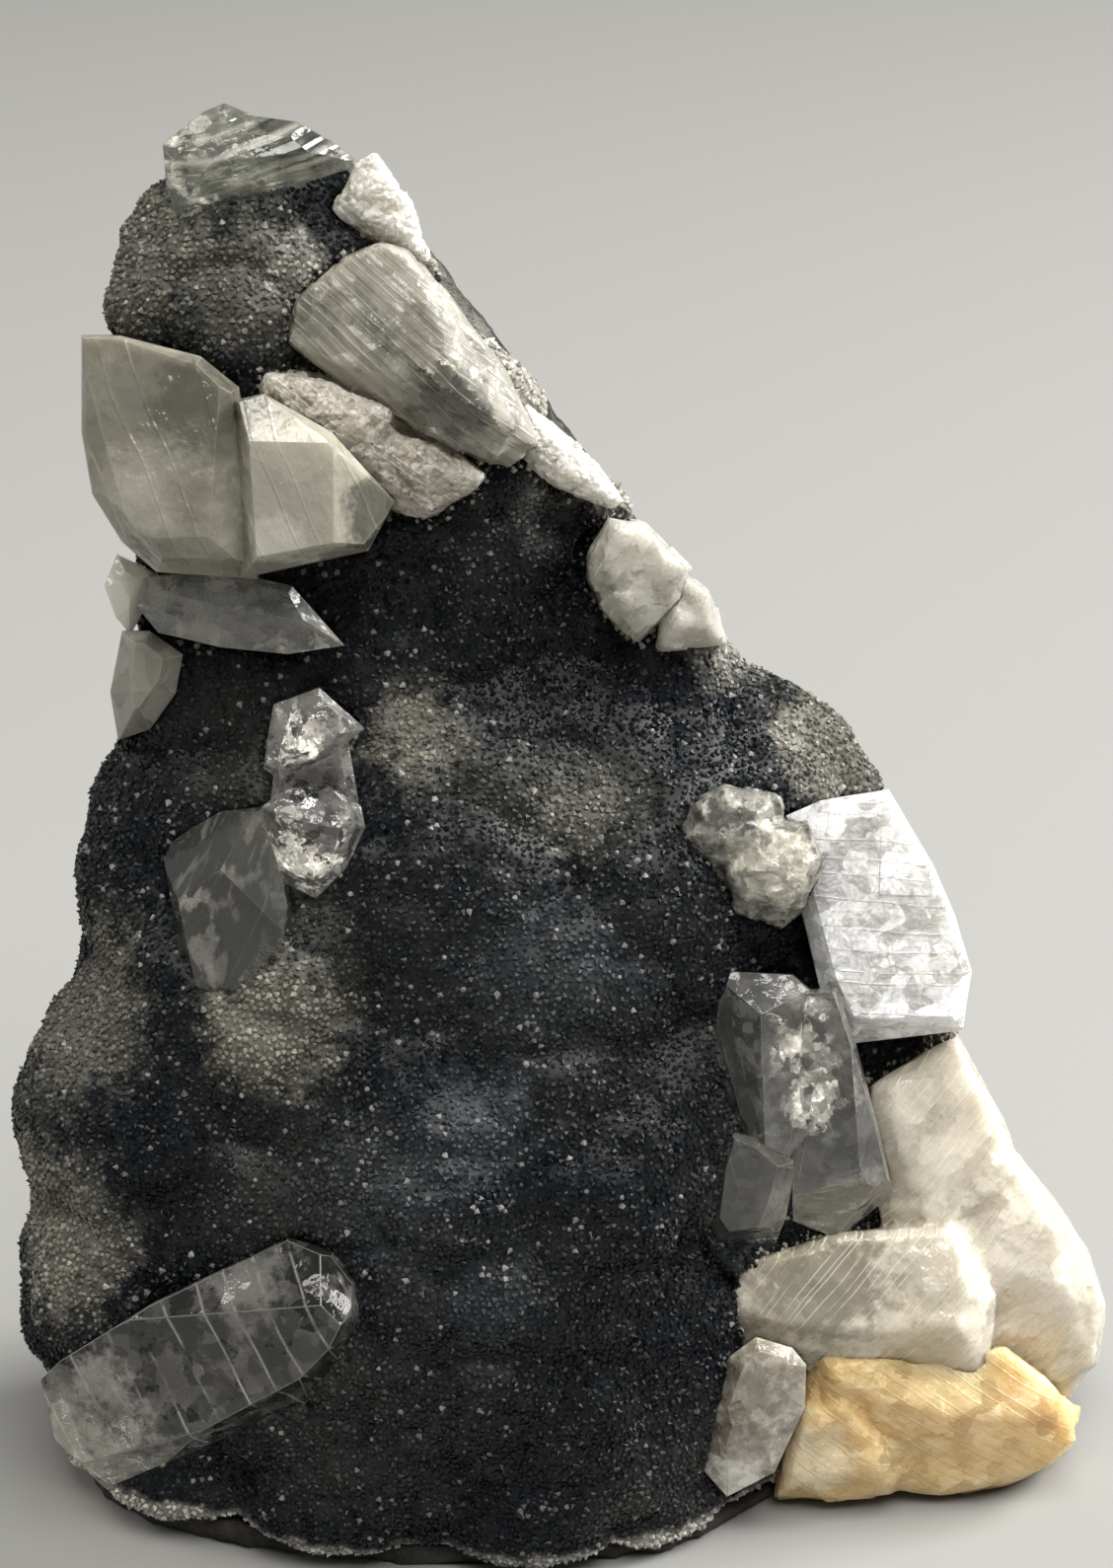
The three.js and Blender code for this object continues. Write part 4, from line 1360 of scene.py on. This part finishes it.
@dataclass
class Studio:
    """The pale sweep, the soft lights and the camera of the photograph."""

    eye: Triple = (-0.00178, -0.30994, 0.18927)
    aim: Triple = (-0.00178, 0.0053, 0.0619)
    lens: float = 93.36
    sensor: float = 36.0
    near_clip: float = 0.01
    paper: Colour = (0.262, 0.262, 0.256)
    paper_roughness: float = 0.9
    room: Colour = (0.8, 0.81, 0.82)
    room_strength: float = 0.2
    lamps: tuple[Lamp, ...] = (
        Lamp("window_right", (1.0, 0.2, 0.85), 0.6, 34.0, (1.0, 0.985, 0.95)),
        Lamp("window_left", (-1.0, 0.15, 0.75), 0.5, 5.0, (1.0, 0.96, 0.88)),
        Lamp("room_front", (0.15, -0.55, 1.15), 0.8, 20.0, (1.0, 0.98, 0.94)),
    )

    def _sweep(self) -> None:
        """Builds the floor, curved up into a backdrop."""
        bpy.ops.mesh.primitive_plane_add(size=2.4, location=(0, 0, -0.0002))
        floor = bpy.context.view_layer.objects.active
        floor.name = "sweep"
        bpy.ops.object.mode_set(mode="EDIT")
        bpy.ops.mesh.select_all(action="DESELECT")
        bpy.ops.object.mode_set(mode="OBJECT")
        for edge in floor.data.edges:
            edge.select = all(floor.data.vertices[i].co.y > 1 for i in edge.vertices)
        bpy.ops.object.mode_set(mode="EDIT")
        bpy.ops.mesh.select_mode(type="EDGE")
        bpy.ops.mesh.extrude_region_move(TRANSFORM_OT_translate={"value": (0, 0.3, 0.05)})
        bpy.ops.mesh.extrude_region_move(TRANSFORM_OT_translate={"value": (0, 0.2, 0.25)})
        bpy.ops.mesh.extrude_region_move(TRANSFORM_OT_translate={"value": (0, 0.1, 1.6)})
        bpy.ops.object.mode_set(mode="OBJECT")
        apply_modifier(floor, "SUBSURF", levels=2, subdivision_type="SIMPLE")
        bpy.ops.object.shade_smooth()
        material, _, shader, _ = blank_material("pale_paper")
        shader.inputs["Base Color"].default_value = (*self.paper, 1)
        shader.inputs["Roughness"].default_value = self.paper_roughness
        floor.data.materials.append(material)

    def _light(self, lamp: Lamp) -> None:
        """Adds a light and aims it at the specimen.

        Args:
            lamp: what it is like.
        """
        bpy.ops.object.light_add(type="AREA", location=lamp.at)
        light = bpy.context.view_layer.objects.active
        light.name = lamp.name
        light.data.size = lamp.size
        light.data.energy = lamp.power
        light.data.color = lamp.colour
        light.rotation_euler = (Vector(self.aim) - Vector(lamp.at)).to_track_quat("-Z", "Y").to_euler()

    def build(self) -> None:
        """Builds the whole studio."""
        self._sweep()
        for lamp in self.lamps:
            self._light(lamp)
        world = bpy.data.worlds.new("room")
        bpy.context.scene.world = world
        world.use_nodes = True
        sky = world.node_tree.nodes["Background"]
        sky.inputs["Color"].default_value = (*self.room, 1)
        sky.inputs["Strength"].default_value = self.room_strength
        bpy.ops.object.camera_add(location=self.eye)
        camera = bpy.context.view_layer.objects.active
        camera.rotation_euler = (Vector(self.aim) - Vector(self.eye)).to_track_quat("-Z", "Y").to_euler()
        camera.data.sensor_width = self.sensor
        camera.data.lens = self.lens
        camera.data.clip_start = self.near_clip
        bpy.context.scene.camera = camera
        bpy.context.scene.view_settings.view_transform = "Standard"


# Pale edge colour: partly worn frosted edges, partly a painted highlight along the crystals' edges.
PALE_EDGE_WEAR_AND_HIGHLIGHT: Colour = (0.6, 0.59, 0.55)

# Painted light: warm brown-grey blots on the lump tops and left sides that the lamps catch, partly also the
# chalcedony's browner tone.
CRUST_PAINTED_LIGHT_BROWN: Colour = (0.14, 0.134, 0.112)
CRUST_COLD: Colour = (0.055, 0.062, 0.07)
# Painted shade: the near-black of the crust's shade blots.
CRUST_PAINTED_SHADE_TONE: Colour = (0.003, 0.004, 0.006)
CRUST_TONES_AND_PAINTED_LIGHT = (
    Patch((-35.8, 0.1, 109.1), 8.5, CRUST_PAINTED_LIGHT_BROWN, 0.55),
    Patch((-26.0, -3.0, 107.0), 7.0, CRUST_PAINTED_LIGHT_BROWN, 0.35),
    Patch((-40.5, -6.4, 46.6), 10.0, CRUST_PAINTED_LIGHT_BROWN, 0.45),
    Patch((-43.0, -11.0, 29.0), 9.5, CRUST_PAINTED_LIGHT_BROWN, 0.75),
    Patch((-24.5, -14.8, 49.0), 7.5, CRUST_PAINTED_LIGHT_BROWN, 0.85, 0.6),
    Patch((-12.6, -5.2, 70.6), 6.5, CRUST_PAINTED_LIGHT_BROWN, 0.75, 0.9),
    Patch((0.5, -7.0, 65.8), 7.5, CRUST_PAINTED_LIGHT_BROWN, 0.4, 0.9),
    Patch((21.5, 3.6, 65.4), 8.0, CRUST_PAINTED_LIGHT_BROWN, 0.6),
    Patch((-8.5, -17.0, 42.0), 6.0, CRUST_COLD, 0.4),
    Patch((-6.0, -18.5, 27.0), 7.0, CRUST_COLD, 0.35),
    Patch((-2.0, -13.0, 53.0), 9.0, CRUST_COLD, 0.3),
    Patch((-15.0, -17.0, 36.0), 9.0, CRUST_COLD, 0.3),
    Patch((-1.8, 0.4, 86.7), 4.6, (0.14, 0.14, 0.13), 0.7),
    Patch((-21.7, -3.2, 108.8), 3.2, (0.32, 0.31, 0.28), 0.7, 0.8),
    Patch((17.3, 2.4, 67.6), 2.2, (0.24, 0.23, 0.2), 0.6),
)
# Painted shade: near-black blots where the crust lies in shade, laid over the grains' tones.
CRUST_PAINTED_SHADE_BLOTS = (
    Patch((1.0, 1.0, 78.0), 15.0, CRUST_PAINTED_SHADE_TONE, 0.9),
    Patch((4.0, -17.0, 22.0), 15.0, CRUST_PAINTED_SHADE_TONE, 0.9),
    Patch((-10.0, -20.0, 8.0), 12.0, CRUST_PAINTED_SHADE_TONE, 0.5),
    Patch((-33.0, -14.0, 36.0), 6.5, CRUST_PAINTED_SHADE_TONE, 0.7),
    Patch((7.0, -14.0, 42.0), 9.0, CRUST_PAINTED_SHADE_TONE, 0.7),
)

CROWN = CrystalFinish(
    "crown_clear", Slot.CLEAR, (0.26, 0.26, 0.24), veil=(0.6, 0.59, 0.54), transmission=0.8, density=0.2,
    relief=Texture.STRIAE, relief_height=0.1, lines=(1.5, 0.22, 0.4), line_amount=0.95, line_rise=17.0,
    edge=PALE_EDGE_WEAR_AND_HIGHLIGHT, cloud=(4.0, 0.42, 0.6), roughness=(0.06, 0.4), facets=(3.2, 0.4, 0.2),
    patches=(Patch((-21.0, -2.6, 119.0), 4.6, (0.02, 0.02, 0.02), 0.85),),
)
SHOULDER = CrystalFinish(
    "shoulder_cloudy", Slot.CLOUDY, (0.25, 0.24, 0.193), veil=(0.41, 0.395, 0.325), transmission=0.35,
    subsurface=0.5, cloud=(7.0, 0.4, 0.62), cloud_amount=0.75, roughness=(0.16, 0.42), relief_height=0.16,
    patches=(
        Patch((-20.5, -14.5, 94.0), 7.5, (0.54, 0.52, 0.43), 0.8, 0.3),
        Patch((-23.5, -14.8, 90.0), 3.0, (0.78, 0.76, 0.66), 0.7, 0.5),
        Patch((-29.0, -12.0, 100.0), 5.0, (0.1, 0.096, 0.082), 0.65),
        Patch((-31.0, -13.5, 93.0), 2.4, (0.2, 0.185, 0.12), 0.6, 0.8),
        Patch((-33.5, -12.0, 92.0), 3.5, (0.6, 0.58, 0.5), 0.4),
        Patch((-15.2, -12.0, 91.5), 4.0, (0.05, 0.048, 0.04), 0.9, 0.4),
    ),
    lines=(3.0, 0.05, 0.5), line_rise=110.0, line_amount=0.4, facets=(6.0, 0.25, 0.3), edge=(0.62, 0.6, 0.52),
)
BLADE = CrystalFinish(
    "blade_smoky", Slot.CLEAR, (0.3, 0.3, 0.28), veil=(0.6, 0.59, 0.55), transmission=0.7,
    cloud=(4.0, 0.42, 0.62), cloud_amount=0.7, roughness=(0.1, 0.45), relief_height=0.1,
    edge=(0.6, 0.6, 0.56), facets=(1.6, 0.4, 0.4),
)
WEDGE = CrystalFinish(
    "wedge_cloudy", Slot.CLOUDY, (0.85, 0.83, 0.72), veil=(0.98, 0.96, 0.86), transmission=0.25,
    subsurface=0.5, roughness=(0.15, 0.4), facets=(2.5, 0.4, 0.3),
)
LOBE = CrystalFinish(
    "lobe_cloudy", Slot.CLOUDY, (0.34, 0.33, 0.29), veil=(0.56, 0.55, 0.49), transmission=0.35,
    subsurface=0.4, cloud_amount=0.8, roughness=(0.15, 0.45), facets=(2.0, 0.5, 0.4), edge=PALE_EDGE_WEAR_AND_HIGHLIGHT,
)
TWIN = CrystalFinish(
    "twin_clear", Slot.CLEAR, (0.5, 0.49, 0.47), veil=(0.9, 0.88, 0.84), transmission=0.82,
    cloud=(1.8, 0.45, 0.56), cloud_amount=0.8, roughness=(0.04, 0.25), relief_height=0.03,
    patches=(
        # Painted reflection: the near-black blots are dark arcs reflected in the lower crystal's upper face.
        Patch((-21.2, -11.0, 68.3), 2.6, (0.02, 0.018, 0.015), 0.95, 0.5),
        Patch((-20.0, -13.0, 66.0), 1.8, (0.05, 0.05, 0.045), 0.8, 0.8),
    ),
    edge=(0.75, 0.74, 0.7), facets=(1.0, 1.3, 0.5),
)
LEFT = CrystalFinish(
    "left_clear", Slot.CLEAR, (0.2, 0.2, 0.186), veil=(0.42, 0.42, 0.385), transmission=0.84,
    cloud=(6.0, 0.45, 0.75), cloud_amount=0.25, roughness=(0.02, 0.2), relief_height=0.015,
    lines=(2.4, 0.05, 0.52), line_rise=68.0, line_amount=0.5, edge=(0.7, 0.69, 0.64),
    # Painted glint: the small pale blot stands for a bright glint on the prism's lower left corner.
    patches=(Patch((-32.2, -10.0, 58.0), 1.6, (0.8, 0.79, 0.75), 0.7, 0.8),),
)
KNOT = CrystalFinish(
    "knot_half_cream", Slot.CLOUDY, (0.1, 0.1, 0.09), veil=(0.42, 0.41, 0.36), transmission=0.15,
    cloud=(1.6, 0.44, 0.6), cloud_amount=0.7, roughness=(0.06, 0.35), relief_height=0.2,
    patches=(Patch((15.6, -12.0, 61.6), 4.2, (0.62, 0.595, 0.5), 1.0, 0.4),), facets=(1.2, 0.6, 0.35),
)
BRIGHT = CrystalFinish(
    "bright_pearly", Slot.PEARLY, (0.86, 0.85, 0.84), veil=(1.0, 0.99, 0.98), transmission=0.08,
    subsurface=0.5, cloud=(3.4, 0.38, 0.62), cloud_amount=0.9, roughness=(0.08, 0.25), relief_height=0.35,
    lines=(1.8, 0.07, 0.42), line_rise=-6.0, line_amount=0.9, edge=(1.0, 0.99, 0.97), facets=(1.4, 1.7, 0.15),
    patches=(
        Patch((20.4, -7.0, 59.6), 2.0, (0.3, 0.3, 0.32), 0.75, 1.1),
        Patch((23.4, -8.0, 62.8), 2.0, (0.36, 0.36, 0.38), 0.6, 1.1),
        Patch((21.2, -8.0, 54.4), 1.8, (0.4, 0.4, 0.42), 0.6, 1.1),
        Patch((26.4, -8.0, 56.5), 1.6, (0.5, 0.5, 0.52), 0.5, 1.2),
    ),
)
LONG = CrystalFinish(
    "long_clear", Slot.CLEAR, (0.26, 0.26, 0.245), veil=(0.6, 0.59, 0.56), transmission=0.8,
    cloud=(3.0, 0.46, 0.66), cloud_amount=0.6, roughness=(0.03, 0.25), relief_height=0.03,
    lines=(2.0, 0.05, 0.5), line_rise=-70.0, line_amount=0.5, edge=(0.8, 0.79, 0.75),
    patches=(
        Patch((13.5, -12.5, 55.5), 2.6, (0.03, 0.03, 0.03), 0.8, 0.8),
        Patch((21.8, -12.0, 31.5), 5.5, (0.95, 0.92, 0.85), 0.85),
        # Painted reflection: these white blots down the column stand for its silvery inner reflections.
        Patch((17.4, -12.0, 50.5), 2.0, (1.0, 0.98, 0.95), 0.95, 1.0),
        Patch((18.0, -12.6, 46.5), 1.8, (1.0, 0.98, 0.95), 0.95, 1.0),
        Patch((19.0, -13.0, 42.0), 2.0, (1.0, 0.98, 0.95), 0.95, 1.0),
        Patch((20.5, -13.4, 39.0), 1.4, (1.0, 0.98, 0.95), 0.9, 0.8),
    ),
    facets=(0.9, 0.25, 0.2),
)
LOWER_LEFT = CrystalFinish(
    "lower_left_clear", Slot.CLEAR, (0.06, 0.06, 0.06), veil=(0.7, 0.68, 0.63), transmission=0.78,
    cloud=(5.0, 0.55, 0.75), cloud_amount=0.5, roughness=(0.02, 0.3), relief_height=0.015,
    lines=(3.2, 0.06, 0.4), line_rise=118.0, line_amount=0.9, edge=(0.3, 0.29, 0.27), facets=(1.3, 0.3, 0.3),
    patches=(
        Patch((-42.0, -16.6, 12.5), 10.0, (0.8, 0.76, 0.68), 0.9, 0.9),
        Patch((-39.0, -18.0, 18.0), 4.0, (0.85, 0.81, 0.72), 0.8, 1.2),
        Patch((-27.0, -18.6, 28.0), 5.5, (0.66, 0.65, 0.6), 0.8, 0.9),
        Patch((-18.0, -20.4, 27.4), 4.0, (0.8, 0.79, 0.74), 0.85, 1.0),
    ),
)
LOWER_RIGHT = CrystalFinish(
    "lower_right_cloudy", Slot.CLOUDY, (0.28, 0.25, 0.195), veil=(0.58, 0.545, 0.47), transmission=0.3,
    subsurface=0.4, cloud=(2.2, 0.42, 0.6), cloud_amount=0.85, roughness=(0.08, 0.35), relief_height=0.16,
    patches=(
        Patch((13.5, -14.0, 6.0), 4.5, (0.95, 0.92, 0.86), 0.85, 0.8),
        Patch((13.8, -14.6, 14.2), 4.2, (0.19, 0.168, 0.128), 0.85, 0.7),
    ),
    edge=PALE_EDGE_WEAR_AND_HIGHLIGHT, facets=(1.5, 0.7, 0.45),
)
CALCITE = CrystalFinish(
    "calcite_lined", Slot.PALE, (0.54, 0.495, 0.4), veil=(0.76, 0.705, 0.6), transmission=0.12,
    subsurface=0.5, depth=5.0, cloud=(8.0, 0.36, 0.66), cloud_amount=0.8, roughness=(0.12, 0.38),
    lines=(0.7, 0.1, 0.42), line_amount=0.65, line_rise=52.0, relief_height=0.14,
    patches=(
        Patch((28.0, -9.0, 16.0), 7.0, (0.8, 0.66, 0.43), 0.4),
        Patch((39.0, -6.0, 22.0), 11.0, (0.8, 0.745, 0.65), 0.8, 0.7),
        Patch((26.5, -5.2, 34.0), 4.0, (0.42, 0.41, 0.37), 0.35, 0.7),
        Patch((20.0, -9.6, 23.0), 9.5, (0.2, 0.182, 0.14), 0.8, 0.6),
        Patch((12.6, -12.2, 21.4), 3.2, (0.05, 0.04, 0.03), 0.8),
    ),
    facets=(3.2, 0.4, 0.15),
)
HONEY = CrystalFinish(
    "honey_wax", Slot.HONEY, (0.68, 0.47, 0.21), veil=(0.78, 0.6, 0.34), transmission=0.0, subsurface=0.8,
    cloud=(4.0, 0.35, 0.7), cloud_amount=0.8, roughness=(0.32, 0.5), relief=Texture.WAX, relief_height=0.3,
    lines=(1.1, 0.1, 0.5), line_amount=0.35, line_rise=-35.0,
    patches=(Patch((19.5, -11.0, 6.0), 5.0, (0.8, 0.7, 0.52), 0.7),),
    facets=(2.0, 0.8, 0.15),
)
PLATE = CrystalFinish(
    "plate_fibrous", Slot.CLOUDY, (0.23, 0.22, 0.187), veil=(0.44, 0.42, 0.355), transmission=0.35,
    subsurface=0.3, cloud=(4.0, 0.38, 0.6), cloud_amount=0.8, roughness=(0.2, 0.45),
    lines=(0.8, 0.1, 0.42), line_amount=0.6, line_rise=-42.0, relief=Texture.STRIAE, relief_height=0.14,
    patches=(
        Patch((-10.0, -8.0, 98.5), 4.5, (0.07, 0.07, 0.062), 0.75),
        Patch((-14.0, -6.4, 108.0), 4.0, (0.62, 0.59, 0.52), 0.6, 0.7),
        # Painted shade: this dark blot dims the right side face, which faces the right-hand lamp.
        Patch((-7.4, -5.4, 101.0), 3.4, (0.15, 0.143, 0.122), 0.7, 0.8),
    ),
    facets=(1.6, 0.5, 0.3), rim=1.2,
)
FAN = CrystalFinish(
    "fan_frosty", Slot.PALE, (0.42, 0.385, 0.32), veil=(0.66, 0.615, 0.535), transmission=0.15,
    subsurface=0.5, cloud=(2.2, 0.38, 0.6), cloud_amount=0.9, roughness=(0.3, 0.55), relief=Texture.SUGAR,
    relief_height=0.4, lines=(1.0, 0.1, 0.4), line_rise=-35.0, facets=(0.9, 0.8, 0.6),
)
FROST = CrystalFinish(
    "frosted_white", Slot.PALE, (0.62, 0.6, 0.54), veil=(0.88, 0.86, 0.8), transmission=0.15, subsurface=0.5,
    cloud=(2.2, 0.38, 0.6), cloud_amount=0.9, roughness=(0.35, 0.6), relief=Texture.SUGAR, relief_height=0.4,
    facets=(0.9, 0.8, 0.6),
)
RIM_BLADE = CrystalFinish(
    "rim_blade_creamy", Slot.PALE, (0.38, 0.362, 0.305), veil=(0.62, 0.595, 0.525), transmission=0.3,
    subsurface=0.5, cloud=(3.0, 0.4, 0.6), cloud_amount=0.8, roughness=(0.2, 0.45), lines=(1.4, 0.08, 0.45),
    line_rise=65.0, relief_height=0.12, facets=(1.6, 0.6, 0.4), rim=1.6,
)

FRINGE = CrystalFinish(
    "sugary_fringe", Slot.PALE, (0.28, 0.265, 0.225), veil=(0.5, 0.475, 0.415), transmission=0.2,
    subsurface=0.4, depth=1.0, cloud=(2.0, 0.4, 0.6), cloud_amount=0.9, roughness=(0.2, 0.4),
)
FRINGED = (
    "upper_stilbite_plate", "frosty_stilbite_fan", "rim_sugar_crust", "rim_blade_upper",
    "rim_blade_lower", "calcite_mass",
)

CLEAVED = Break(
    (
        Lumps(LumpKind.BLOCKS, 3.0, 0.4, 0.5, 4.0, 52.0),
        Lumps(LumpKind.BLOCKS, 1.0, 0.14, 0.5, 5.0, 52.0),
        Lumps(LumpKind.SOFT, 5.0, 0.2),
    ),
    smoothing=1,
)
WAXY = Break(
    (
        Lumps(LumpKind.BLOCKS, 3.4, 0.6, 0.5, 2.0, -30.0),
        Lumps(LumpKind.SOFT, 3.0, 0.4),
        Lumps(LumpKind.SOFT, 0.9, 0.14),
    ),
)
FIBROUS = Break(
    (
        Lumps(LumpKind.BLOCKS, 2.0, 0.6, 0.5, 6.0, -42.0),
        Lumps(LumpKind.BLOCKS, 0.8, 0.2, 0.5, 8.0, -42.0),
        Lumps(LumpKind.SOFT, 4.0, 0.3),
    ),
    voxel=0.35,
)
SUGARY = Break(
    (
        Lumps(LumpKind.BLOCKS, 2.2, 0.7, 0.5, 2.2, -38.0),
        Lumps(LumpKind.BLOCKS, 0.8, 0.4),
        Lumps(LumpKind.SOFT, 2.5, 0.4),
    ),
    voxel=0.35,
)
KNOTTY = Break(
    (Lumps(LumpKind.BLOCKS, 2.4, 0.8), Lumps(LumpKind.BLOCKS, 1.0, 0.3)), voxel=0.3, smoothing=1,
)
CHIPPED = Break(
    (Lumps(LumpKind.BLOCKS, 2.4, 0.5, 0.5, 1.6, 60.0), Lumps(LumpKind.SOFT, 2.0, 0.2)),
    voxel=0.35,
    smoothing=1,
)

CROWN_FILM = CrackFinish(
    "crown_film", Slot.CLEAR, metal=0.6, roughness=0.2, cover=(0.5, 0.56), amount=0.5, crease=(1.2, 1.6),
)
COLUMN_FILM = CrackFinish(
    "column_film", Slot.CLEAR, metal=0.3, roughness=0.25, cover=(0.42, 0.48), amount=0.95, crease=(0.9, 1.6),
    spots=(((17.4, -10.5, 50.0), 3.6), ((18.2, -11.0, 45.5), 3.6), ((19.0, -11.5, 41.0), 3.4)),
)
TWIN_FILM = CrackFinish(
    "twin_film", Slot.CLEAR, metal=0.5, roughness=0.2, cover=(0.46, 0.5), crease=(0.7, 2.2),
    spots=(((-22.5, -10.5, 73.0), 3.0), ((-21.8, -12.0, 61.6), 3.2), ((-23.4, -12.0, 65.6), 1.8)),
)
CLOUDY_FILM = CrackFinish("pale_film", Slot.CLOUDY, metal=0.3, roughness=0.35, amount=0.5)
FAINT_FILM = CrackFinish(
    "faint_film", Slot.CLEAR, metal=0.2, roughness=0.4, amount=0.12, fibre=(0.9, 0.4, 0.4),
)
MILK_FILM = CrackFinish("milky_film", Slot.CLEAR, metal=0.0, roughness=0.5, amount=0.35, cover=(0.5, 0.75))

CRYSTALS = (
    Crystal("crown_apophyllite", CROWN, Cracks(CROWN_FILM, 1, (0.25, -0.6, 0.75), seed=11)),
    Crystal("shoulder_apophyllite", SHOULDER),
    Crystal("flank_blade_crystal", BLADE, Cracks(CLOUDY_FILM, 1, (0.1, -0.8, 0.6), seed=13)),
    Crystal("flank_wedge_crystal", WEDGE),
    Crystal("flank_lobe_crystal", LOBE),
    Crystal("twin_apophyllite", TWIN, Cracks(TWIN_FILM, 3, (0.1, -0.9, 0.4), 0.4, seed=17)),
    Crystal("left_apophyllite", LEFT, Cracks(FAINT_FILM, 1, (0.5, -0.8, 0.3), seed=19), edge=0.25),
    Crystal("middle_apophyllite_knot", KNOT, broken=KNOTTY),
    Crystal("bright_apophyllite", BRIGHT, edge=0.25),
    Crystal("long_apophyllite_cluster", LONG, Cracks(COLUMN_FILM, 3, (0.2, -0.95, 0.1), 0.25, seed=29)),
    Crystal(
        "lower_left_apophyllite", LOWER_LEFT,
        Cracks(MILK_FILM, 3, (-0.85, -0.2, -0.5), 0.3, seed=31), edge=0.2,
    ),
    Crystal("lower_right_apophyllite", LOWER_RIGHT),
    Crystal("calcite_mass", CALCITE, broken=CLEAVED),
    Crystal("honey_calcite", HONEY, broken=WAXY),
    Crystal("upper_stilbite_plate", PLATE, broken=FIBROUS),
    Crystal("upper_white_block", FROST, broken=SUGARY),
    Crystal("frosty_stilbite_fan", FAN, broken=SUGARY),
    Crystal("rim_blade_upper", RIM_BLADE, broken=CHIPPED),
    Crystal("rim_blade_lower", RIM_BLADE, broken=CHIPPED),
    Crystal("rim_sugar_crust", FROST, broken=SUGARY),
    Crystal("edge_grain_crystal", RIM_BLADE),
)


class Specimen:
    """The whole specimen, its parts in building order."""

    def __init__(self) -> None:
        """Sets up the groups and the parts."""
        self.groups = ShaderGroups()
        self.basalt = Basalt()
        self.crust = Crust(CrustFinish(patches=CRUST_TONES_AND_PAINTED_LIGHT, painted_shade_blots=CRUST_PAINTED_SHADE_BLOTS))
        self.druse = Druse(
            CrustFinish(
                "quartz_grains", roughness=0.16, patches=CRUST_TONES_AND_PAINTED_LIGHT, painted_shade_blots=CRUST_PAINTED_SHADE_BLOTS, grains=True
            )
        )
        self.fringe = Druse(
            FRINGE, "Fringe", FRINGED, within=0.7, spacing=0.6, width=(0.25, 0.8), lean=80.0, clear=-1.0,
            layers=((-10.0, 130.0, 9),),
        )

    def build(self) -> None:
        """Builds every part."""
        basalt = self.basalt.build(self.groups)
        crust = self.crust.build(self.groups)
        crystals = [crystal.build(self.groups) for crystal in CRYSTALS]
        self.druse.build(self.groups, crust, basalt, crystals)
        self.fringe.build(self.groups, crust, basalt, crystals)


def main() -> None:
    """Builds the specimen and its studio."""
    logging.basicConfig(level=logging.INFO, format="%(name)s: %(message)s")
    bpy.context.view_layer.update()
    Specimen().build()
    log.info("studio")
    Studio().build()


if __name__ == "__main__":
    main()
